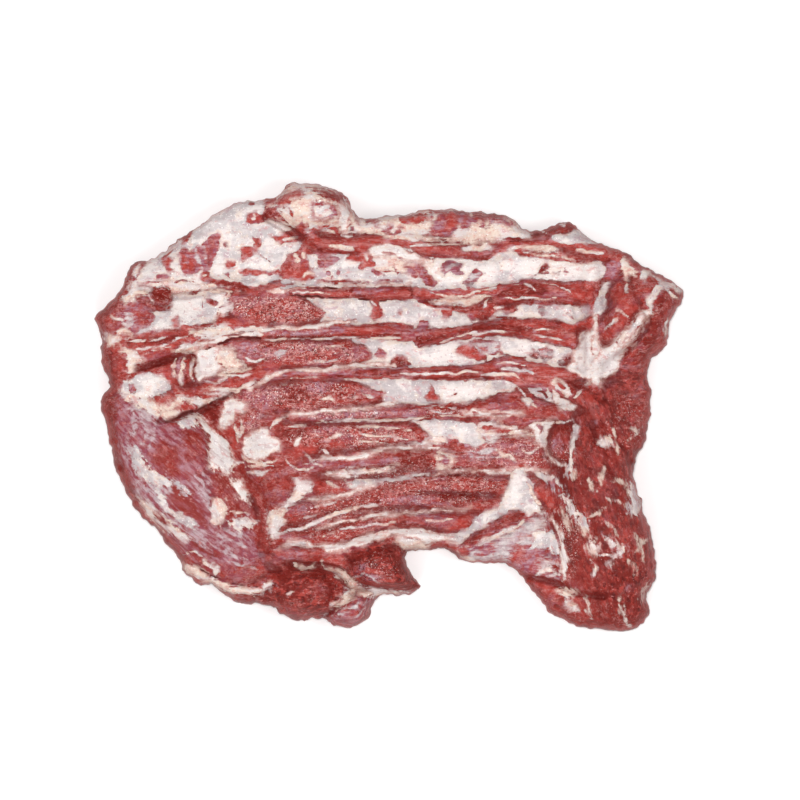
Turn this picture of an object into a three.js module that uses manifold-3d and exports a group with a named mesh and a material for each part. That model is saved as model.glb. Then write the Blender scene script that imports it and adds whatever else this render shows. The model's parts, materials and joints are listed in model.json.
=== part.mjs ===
// A raw buffalo forequarter, boned out and laid flat with its rib side up.
//
// One solid. Its plan is the ragged outline of the opened quarter. Its top is a relief: the domed
// shoulder on the left, the long neck muscles on the right, and between them the rib plate, where
// the ribs have left sunken beds between raised strips of rib meat. The foot tucks in all round,
// as soft meat does on a table.
//
// Millimetres, +Z up, +X along the ribs towards the neck. The origin is under the middle of it.

import * as THREE from "three";
import { mergeVertices } from "three/addons/utils/BufferGeometryUtils.js";
import Module from "manifold-3d";

// Driving dimensions
const PLATE = 52; // thickness of the boned rib plate towards its edges
const HOLLOW = 9; // how far the plate sinks inside the curve of the ribs
const SHOULDER_RISE = 58; // height of the shoulder above the plate
const NECK_RISE = 44; // height of the neck muscles above the plate
const STRIP_RISE = 8; // height of a strip of rib meat above the beds beside it
const STRIP_HALF = 10; // half the width of such a strip
const RIM_SHARE = 0.42; // share of the local thickness that stands as the rim
const RIM_ROUND = 0.55; // width of the rounding at the rim, as a share of the thickness
const FOOT_TUCK = 9; // how far the foot lies inside the outline
const FOOT_RISE = 13; // height at which the side is widest
const OUTLINE_STEP = 9; // spacing of points along the outline
const RELIEF_STEP_X = 11.5; // relief grid along the ribs
const RELIEF_STEP_Y = 8; // relief grid across the ribs

// The quarter's outline, anticlockwise from the left end of the shoulder
const OUTLINE = [
  [-400, 96], [-399, 60], [-389, 28], [-400, 0], [-388, -56], [-376, -104], [-352, -147],
  [-310, -193], [-288, -226], [-268, -246], [-252, -250], [-210, -275], [-166, -279],
  [-150, -292], [-125, -302], [-92, -297], [-78, -306], [-50, -312], [-32, -298], [-14, -267],
  [36, -264], [43, -254], [29, -232], [24, -206], [58, -203], [76, -200], [110, -219],
  [170, -224], [200, -254], [228, -290], [280, -312], [346, -311], [366, -288], [361, -268],
  [374, -240], [369, -188], [354, -140], [344, -108], [344, -80], [360, -48], [362, -30],
  [367, 2], [364, 58], [386, 86], [394, 118], [412, 160], [358, 193], [330, 215], [290, 227],
  [250, 256], [200, 243], [163, 266], [125, 270], [70, 274], [0, 264], [-44, 264], [-64, 298],
  [-110, 309], [-134, 310], [-160, 291], [-220, 281], [-264, 250], [-292, 232], [-330, 204],
  [-357, 198], [-372, 166], [-398, 135], [-410, 120],
];

// Muscle masses: centre, half lengths, turn of the long axis in degrees, rise, softness of edge
const MASSES = [
  { at: [50, 10], half: [300, 250], turn: 0, rise: -HOLLOW, soft: 0.8 }, // curve of the ribs
  { at: [-285, -100], half: [215, 135], turn: -52, rise: SHOULDER_RISE, soft: 0.9 }, // shoulder
  { at: [-335, 85], half: [130, 85], turn: -8, rise: 22, soft: 0.8 }, // blade end
  { at: [-330, 165], half: [95, 42], turn: 25, rise: 12, soft: 0.8 }, // top left fat edge
  { at: [-108, 276], half: [70, 42], turn: 0, rise: 22, soft: 0.7 }, // fat knob
  { at: [60, 258], half: [130, 30], turn: 0, rise: 12, soft: 0.8 }, // top edge roll
  { at: [302, -150], half: [215, 95], turn: -84, rise: NECK_RISE, soft: 0.8 }, // neck
  { at: [352, 120], half: [90, 70], turn: 50, rise: 26, soft: 0.7 }, // upper neck muscle
  { at: [322, 128], half: [46, 24], turn: 70, rise: 10, soft: 0.7 }, // oval muscle
  { at: [238, -52], half: [34, 20], turn: 80, rise: 10, soft: 0.6 }, // small oval muscle
  { at: [-115, -258], half: [72, 48], turn: 0, rise: 26, soft: 0.8 }, // coarse lump
  { at: [-50, -285], half: [44, 30], turn: 35, rise: 20, soft: 0.7 }, // folded muscle
  { at: [-5, -230], half: [56, 40], turn: -20, rise: 26, soft: 0.7 }, // dark flap
  { at: [-150, 135], half: [85, 24], turn: -2, rise: 7, soft: 0.6 }, // muscle wedges that
  { at: [-110, 73], half: [95, 23], turn: -2, rise: 8, soft: 0.6 }, //  run out over the beds
  { at: [-110, 15], half: [108, 25], turn: 1, rise: 9, soft: 0.6 },
  { at: [-50, -42], half: [122, 21], turn: 1, rise: 8, soft: 0.6 },
  { at: [180, -62], half: [110, 22], turn: -2, rise: 7, soft: 0.6 },
];

// Raised strips: a path along each, half its width and its rise
const STRIPS = [
  { path: [[-125, 256], [-96, 226], [20, 228], [80, 212], [130, 208], [225, 230], [300, 220]] },
  { path: [[-250, 172], [-120, 158], [32, 156], [140, 158], [205, 162], [283, 152]] },
  { path: [[48, 138], [100, 133], [135, 140], [185, 152]], half: 6, rise: 6 },
  { path: [[-175, 101], [-40, 104], [30, 98], [100, 100], [150, 108], [200, 108], [255, 94]] },
  { path: [[225, 104], [284, 119]], half: 7, rise: 6 },
  { path: [[-175, 42], [-60, 45], [60, 44], [130, 47], [162, 58], [210, 52], [262, 42]] },
  { path: [[150, 38], [200, 36], [245, 22], [300, -6]], half: 13 },
  { path: [[-130, -13], [0, -10], [60, -8], [125, -6], [180, 0], [245, -12]], half: 12 },
  { path: [[-110, -84], [0, -72], [70, -76], [150, -82], [215, -84]], half: 12 },
  { path: [[-95, -116], [0, -112], [80, -110], [160, -112]], half: 12 },
  { path: [[-130, -150], [-60, -134], [20, -130], [90, -134], [150, -138]], half: 11 },
  { path: [[-150, -185], [-80, -184], [-20, -164], [50, -160], [110, -165]], half: 11 },
  { path: [[-150, -208], [-60, -202], [20, -184], [90, -186]], half: 8, rise: 5 },
  { path: [[98, -204], [130, -186], [195, -150]], half: 8, rise: 6 },
  { path: [[-345, 80], [-300, 84], [-230, 108], [-175, 118]], half: 12, rise: 6 },
  { path: [[-318, 6], [-262, 18], [-200, 40], [-160, 56]], half: 12, rise: 7 },
  { path: [[-205, -82], [-205, -98], [-178, -130], [-172, -200]], half: 9, rise: 5 },
  { path: [[-288, -226], [-230, -254], [-190, -258], [-160, -240]], half: 9, rise: 6 },
  { path: [[283, 190], [288, 130], [286, 80], [288, 30]], half: 13, rise: 7 },
  { path: [[290, 60], [330, 95], [358, 132]], half: 10, rise: 7 },
];

// Sunken seams between the muscles: a path along each, half its width and its depth
const SEAMS = [
  { path: [[-312, -24], [-262, -8], [-236, 4], [-215, 16]], half: 6, depth: 8 },
  { path: [[-350, 52], [-310, 62], [-275, 70], [-266, 44]], half: 7, depth: 7 },
  { path: [[-262, -14], [-244, -50], [-248, -90], [-238, -140], [-225, -168]], half: 11, depth: 9 },
  { path: [[-190, -126], [-176, -160], [-174, -215], [-150, -232]], half: 9, depth: 12 },
  { path: [[-132, -224], [-70, -230], [-52, -248], [-20, -254], [38, -256]], half: 8, depth: 12 },
  { path: [[-92, -292], [-72, -282], [-50, -262]], half: 6, depth: 9 },
  { path: [[221, -30], [220, -62], [238, -84], [252, -130], [268, -158]], half: 8, depth: 9 },
  { path: [[190, -238], [240, -250], [262, -262], [300, -266]], half: 6, depth: 8 },
  { path: [[262, 140], [268, 100], [268, 60], [262, 20]], half: 8, depth: 5 },
  { path: [[338, 176], [352, 140], [362, 118], [345, 88], [318, 66]], half: 6, depth: 6 },
  { path: [[-172, 262], [-150, 250], [-122, 234]], half: 6, depth: 8 },
  { path: [[-345, 165], [-300, 152], [-258, 156], [-222, 163]], half: 6, depth: 5 },
];

const smooth = (value) => THREE.MathUtils.smoothstep(value, 0, 1);

function curvePoints(points, closed, step) {
  const stations = points.map(([x, y]) => new THREE.Vector3(x, y, 0));
  const curve = new THREE.CatmullRomCurve3(stations, closed, "centripetal");
  const count = Math.ceil(curve.getLength() / step);
  const spaced = curve.getSpacedPoints(count);
  return closed ? spaced.slice(0, -1) : spaced;
}

// Distance from (x, y) to the nearest leg of a line of points
function distanceTo(line, closed, x, y) {
  let nearest = Infinity;
  const legs = closed ? line.length : line.length - 1;
  for (let i = 0; i < legs; i += 1) {
    const a = line[i];
    const b = line[(i + 1) % line.length];
    const legX = b.x - a.x;
    const legY = b.y - a.y;
    const share = ((x - a.x) * legX + (y - a.y) * legY) / (legX * legX + legY * legY);
    const t = THREE.MathUtils.clamp(share, 0, 1);
    nearest = Math.min(nearest, Math.hypot(x - a.x - t * legX, y - a.y - t * legY));
  }
  return nearest;
}

function isInside(loop, x, y) {
  let inside = false;
  for (let i = 0, j = loop.length - 1; i < loop.length; j = i, i += 1) {
    const a = loop[i];
    const b = loop[j];
    const crosses = a.y > y !== b.y > y;
    if (crosses && x < ((b.x - a.x) * (y - a.y)) / (b.y - a.y) + a.x) {
      inside = !inside;
    }
  }
  return inside;
}

function massHeight(mass, x, y) {
  const turn = THREE.MathUtils.degToRad(mass.turn);
  const dx = x - mass.at[0];
  const dy = y - mass.at[1];
  const along = (dx * Math.cos(turn) + dy * Math.sin(turn)) / mass.half[0];
  const across = (dy * Math.cos(turn) - dx * Math.sin(turn)) / mass.half[1];
  return mass.rise * smooth((1 - Math.hypot(along, across)) / mass.soft);
}

// Height of a ridge with a round back, at some distance from the path along it
const ridge = (distance, half, rise) => rise * Math.max(0, 1 - (distance / half) ** 2);

const PATH_STEP = 8;
const strips = STRIPS.map((strip) => ({
  half: strip.half ?? STRIP_HALF,
  rise: strip.rise ?? STRIP_RISE,
  line: curvePoints(strip.path, false, PATH_STEP),
}));
const seams = SEAMS.map((seam) => ({ ...seam, line: curvePoints(seam.path, false, PATH_STEP) }));
const outline = curvePoints(OUTLINE, true, OUTLINE_STEP);

function thickness(x, y) {
  let height = PLATE;
  for (const mass of MASSES) {
    height += massHeight(mass, x, y);
  }
  for (const { line, half, rise } of strips) {
    height += ridge(distanceTo(line, false, x, y), half, rise);
  }
  for (const { line, half, depth } of seams) {
    height -= ridge(distanceTo(line, false, x, y), half, depth);
  }
  return height;
}

// Height of the top over (x, y), rounded off towards the outline as a quarter ellipse
function topHeight(x, y) {
  const full = thickness(x, y);
  const depth = isInside(outline, x, y) ? distanceTo(outline, true, x, y) : 0;
  const t = Math.min(1, depth / (RIM_ROUND * full));
  return full * (RIM_SHARE + (1 - RIM_SHARE) * Math.sqrt(1 - (1 - t) ** 2));
}

// A slab whose top follows the relief and whose underside lies below the table
function reliefBlock() {
  const below = -5;
  const box = new THREE.Box2().setFromPoints(outline).expandByScalar(RELIEF_STEP_Y);
  const size = box.getSize(new THREE.Vector2());
  const middle = box.getCenter(new THREE.Vector2());
  const columns = Math.ceil(size.x / RELIEF_STEP_X);
  const rows = Math.ceil(size.y / RELIEF_STEP_Y);
  const block = new THREE.BoxGeometry(size.x, size.y, 1, columns, rows, 1);
  block.translate(middle.x, middle.y, 0);
  const position = block.attributes.position;
  for (let i = 0; i < position.count; i += 1) {
    const isTop = position.getZ(i) > 0;
    position.setZ(i, isTop ? topHeight(position.getX(i), position.getY(i)) : below);
  }
  return block;
}

// The foot's line: the outline moved in along its smoothed normals
function footLine() {
  const count = outline.length;
  const reach = 4;
  return outline.map((point, i) => {
    const before = outline[(i - reach + count) % count];
    const after = outline[(i + reach) % count];
    const along = new THREE.Vector2(after.x - before.x, after.y - before.y).normalize();
    const x = point.x - along.y * FOOT_TUCK;
    const y = point.y + along.x * FOOT_TUCK;
    return new THREE.Vector3(x, y, 0);
  });
}

// A closed wall through loops of equal length, capped flat at its foot and its head
function outlineWall() {
  const head = PLATE + SHOULDER_RISE + NECK_RISE;
  const loops = [
    footLine(),
    outline.map(({ x, y }) => new THREE.Vector3(x, y, FOOT_RISE)),
    outline.map(({ x, y }) => new THREE.Vector3(x, y, head)),
  ];
  const count = outline.length;
  const indices = [];
  for (let level = 0; level < loops.length - 1; level += 1) {
    for (let i = 0; i < count; i += 1) {
      const a = level * count + i;
      const b = level * count + ((i + 1) % count);
      indices.push(a, b, a + count, b, b + count, a + count);
    }
  }
  const cap = (loop) => THREE.ShapeUtils.triangulateShape(loop, []);
  for (const [a, b, c] of cap(loops[0])) {
    indices.push(a, c, b);
  }
  const last = (loops.length - 1) * count;
  for (const [a, b, c] of cap(loops.at(-1))) {
    indices.push(last + a, last + b, last + c);
  }
  const wall = new THREE.BufferGeometry().setFromPoints(loops.flat());
  wall.setIndex(indices);
  return wall;
}

const wasm = await Module();
wasm.setup();

function toSolid(geometry) {
  geometry.deleteAttribute("normal");
  geometry.deleteAttribute("uv");
  const merged = mergeVertices(geometry);
  const mesh = new wasm.Mesh({
    numProp: 3,
    vertProperties: new Float32Array(merged.attributes.position.array),
    triVerts: new Uint32Array(merged.index.array),
  });
  return new wasm.Manifold(mesh);
}

function toGeometry(solid) {
  const mesh = solid.getMesh();
  const geometry = new THREE.BufferGeometry();
  geometry.setAttribute("position", new THREE.BufferAttribute(mesh.vertProperties, 3));
  geometry.setIndex(new THREE.BufferAttribute(mesh.triVerts, 1));
  return geometry;
}

function forequarter() {
  const solid = toSolid(reliefBlock()).intersect(toSolid(outlineWall()));
  const geometry = toGeometry(solid);
  geometry.computeBoundingBox();
  const middle = geometry.boundingBox.getCenter(new THREE.Vector3());
  geometry.translate(-middle.x, -middle.y, 0);
  geometry.computeVertexNormals();
  const meat = new THREE.MeshStandardMaterial({ color: 0x9e3c37, roughness: 0.4, metalness: 0 });
  const mesh = new THREE.Mesh(geometry, meat);
  mesh.name = "forequarter";
  return mesh;
}

const part = new THREE.Group();
part.add(forequarter());

export default part;
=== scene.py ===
"""Looks of a raw buffalo forequarter, boned out and laid flat with its rib side up.

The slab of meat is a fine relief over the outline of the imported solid. Its tissues are painted on
the relief as distances: a point holds, for each tissue, how far in millimetres it lies inside or
outside of it, and the material turns these distances into crisp, ragged borders.

The file is laid out as a Blender add-on and is run as a script.
"""

import json
import math
from functools import partial

import bpy
import numpy as np
from bpy.props import FloatProperty, IntProperty, PointerProperty, StringProperty
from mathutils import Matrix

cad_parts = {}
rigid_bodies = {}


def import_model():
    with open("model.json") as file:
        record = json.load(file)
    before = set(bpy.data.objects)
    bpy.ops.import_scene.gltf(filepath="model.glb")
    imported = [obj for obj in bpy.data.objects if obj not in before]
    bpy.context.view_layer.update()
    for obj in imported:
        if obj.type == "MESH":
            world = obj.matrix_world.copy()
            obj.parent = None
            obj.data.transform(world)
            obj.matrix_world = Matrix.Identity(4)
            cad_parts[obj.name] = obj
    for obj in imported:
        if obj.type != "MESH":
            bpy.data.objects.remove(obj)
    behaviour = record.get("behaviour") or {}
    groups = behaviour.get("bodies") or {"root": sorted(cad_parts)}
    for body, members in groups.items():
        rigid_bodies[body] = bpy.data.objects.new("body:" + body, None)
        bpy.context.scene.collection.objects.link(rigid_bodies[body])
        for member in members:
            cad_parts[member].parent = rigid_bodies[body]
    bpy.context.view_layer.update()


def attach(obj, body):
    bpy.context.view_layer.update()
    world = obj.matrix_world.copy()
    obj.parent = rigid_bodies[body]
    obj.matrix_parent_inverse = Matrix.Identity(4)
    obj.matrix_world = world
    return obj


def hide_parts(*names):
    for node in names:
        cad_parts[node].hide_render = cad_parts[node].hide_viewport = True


bl_info = {
    "name": "Raw buffalo forequarter",
    "version": (1, 0, 0),
    "blender": (4, 5, 0),
    "location": "View3D > Sidebar > Forequarter",
    "description": "Builds a boned buffalo forequarter with its rib beds, fat and muscle",
    "category": "Object",
}

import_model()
MM = 0.001
NODE = "forequarter"
BODY = "root"
SEED = 7

# Shape -------------------------------------------------------------------------------------------
# The outline and the forms below are those of the solid, in millimetres.

PLATE_THICKNESS = 52.0

OUTLINE = (
    "-400,96 -400,66 -396,44 -388,28 -400,14 -402,0 -394,-30 -388,-56 -380,-90 -370,-116 "
    "-352,-147 -325,-173 -306,-196 -290,-216 -286,-233 -272,-240 -270,-248 -260,-254 -252,-249 "
    "-232,-262 -210,-275 -166,-279 -150,-292 -125,-302 -92,-297 -78,-306 -50,-312 -32,-298 "
    "-14,-267 36,-264 43,-254 29,-232 24,-206 58,-203 76,-200 110,-219 170,-224 200,-254 "
    "228,-290 280,-312 346,-311 366,-288 361,-268 374,-240 369,-188 354,-140 344,-108 344,-80 "
    "360,-48 362,-30 367,2 364,58 386,86 394,118 412,160 358,193 330,215 290,227 250,256 "
    "200,243 163,266 125,270 70,274 0,264 -44,264 -64,298 -110,309 -134,310 -160,291 -220,281 "
    "-264,250 -292,232 -330,204 -357,198 -372,166 -398,135 -410,120"
)

# Muscle masses: centre, half lengths, turn in degrees, rise, softness of the edge
MASSES = (
    ((50, 10), (300, 250), 0, -9, 0.8),
    ((-285, -100), (215, 135), -52, 58, 0.9),
    ((-335, 85), (130, 85), -8, 22, 0.8),
    ((-330, 165), (95, 42), 25, 12, 0.8),
    ((-108, 276), (70, 42), 0, 22, 0.7),
    ((60, 258), (130, 30), 0, 12, 0.8),
    ((302, -150), (215, 95), -84, 44, 0.8),
    ((352, 120), (90, 70), 50, 26, 0.7),
    ((322, 128), (46, 24), 70, 10, 0.7),
    ((238, -52), (34, 20), 80, 10, 0.6),
    ((-115, -258), (72, 48), 0, 26, 0.8),
    ((-50, -285), (44, 30), 35, 20, 0.7),
    ((-5, -230), (56, 40), -20, 26, 0.7),
    ((-150, 135), (85, 24), -2, 7, 0.6),
    ((-110, 73), (95, 23), -2, 8, 0.6),
    ((-110, 15), (108, 25), 1, 9, 0.6),
    ((-50, -42), (122, 21), 1, 8, 0.6),
    ((180, -62), (110, 22), -2, 7, 0.6),
)

# Raised strips: half width, rise, path
STRIPS = (
    (10, 8, "-125,256 -96,226 20,228 80,212 130,208 225,230 300,220"),
    (10, 8, "-250,172 -120,158 32,156 140,158 205,162 283,152"),
    (6, 6, "48,138 100,133 135,140 185,152"),
    (10, 8, "-175,101 -40,104 30,98 100,100 150,108 200,108 255,94"),
    (7, 6, "225,104 284,119"),
    (10, 8, "-175,42 -60,45 60,44 130,47 162,58 210,52 262,42"),
    (13, 8, "150,38 200,36 245,22 300,-6"),
    (12, 8, "-130,-13 0,-10 60,-8 125,-6 180,0 245,-12"),
    (12, 8, "-110,-84 0,-72 70,-76 150,-82 215,-84"),
    (12, 8, "-95,-116 0,-112 80,-110 160,-112"),
    (11, 8, "-130,-150 -60,-134 20,-130 90,-134 150,-138"),
    (11, 8, "-150,-185 -80,-184 -20,-164 50,-160 110,-165"),
    (8, 5, "-150,-208 -60,-202 20,-184 90,-186"),
    (8, 6, "98,-204 130,-186 195,-150"),
    (12, 6, "-345,80 -300,84 -230,108 -175,118"),
    (12, 7, "-318,6 -262,18 -200,40 -160,56"),
    (9, 5, "-205,-82 -205,-98 -178,-130 -172,-200"),
    (9, 6, "-288,-226 -230,-254 -190,-258 -160,-240"),
    (13, 7, "283,190 288,130 286,80 288,30"),
    (10, 7, "290,60 330,95 358,132"),
)

# The first of them are the smooth strips of rib meat
STRIPS_OVER_RIBS = 7

# Sunken seams: half width, depth, path
SEAMS = (
    (6, 5, "-318,-22 -262,-8 -240,2"),
    (7, 7, "-350,52 -310,62 -275,70 -266,44"),
    (9, 4, "-262,-14 -244,-50 -248,-90 -238,-140 -225,-168"),
    (7, 4, "-190,-126 -176,-160 -174,-215 -150,-232"),
    (8, 12, "-132,-224 -70,-230 -52,-248 -20,-254 38,-256"),
    (6, 9, "-92,-292 -72,-282 -50,-262"),
    (7, 4, "221,-30 220,-62 238,-84 252,-130 268,-158"),
    (6, 8, "190,-238 240,-250 262,-262 300,-266"),
    (8, 5, "262,140 268,100 268,60 262,20"),
    (6, 6, "338,176 352,140 362,118 345,88 318,66"),
    (6, 8, "-172,262 -150,250 -122,234"),
    (6, 5, "-345,165 -300,152 -258,156 -222,163"),
)

# The rim: its height and the reach of its rounding, as shares of the thickness
RIM_SHARE = 0.52
RIM_ROUND = 0.32
# The foot of the side: how far it is tucked in, over which height, in millimetres
FOOT_TUCK = 9.0
FOOT_RISE = 13.0

# Tissues -----------------------------------------------------------------------------------------
# In millimetres: how far round a drawn layer its distances are worked out, the distance where
# nothing is drawn, and the distance that is kept at most
REACH = 32.0
FAR = 30.0
LIMIT = 12.0

TISSUES = ("dark", "bright", "membrane", "fascia", "fat", "white", "slot", "film", "cloud", "veil")
SHEER = ("film", "cloud", "veil")

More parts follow.
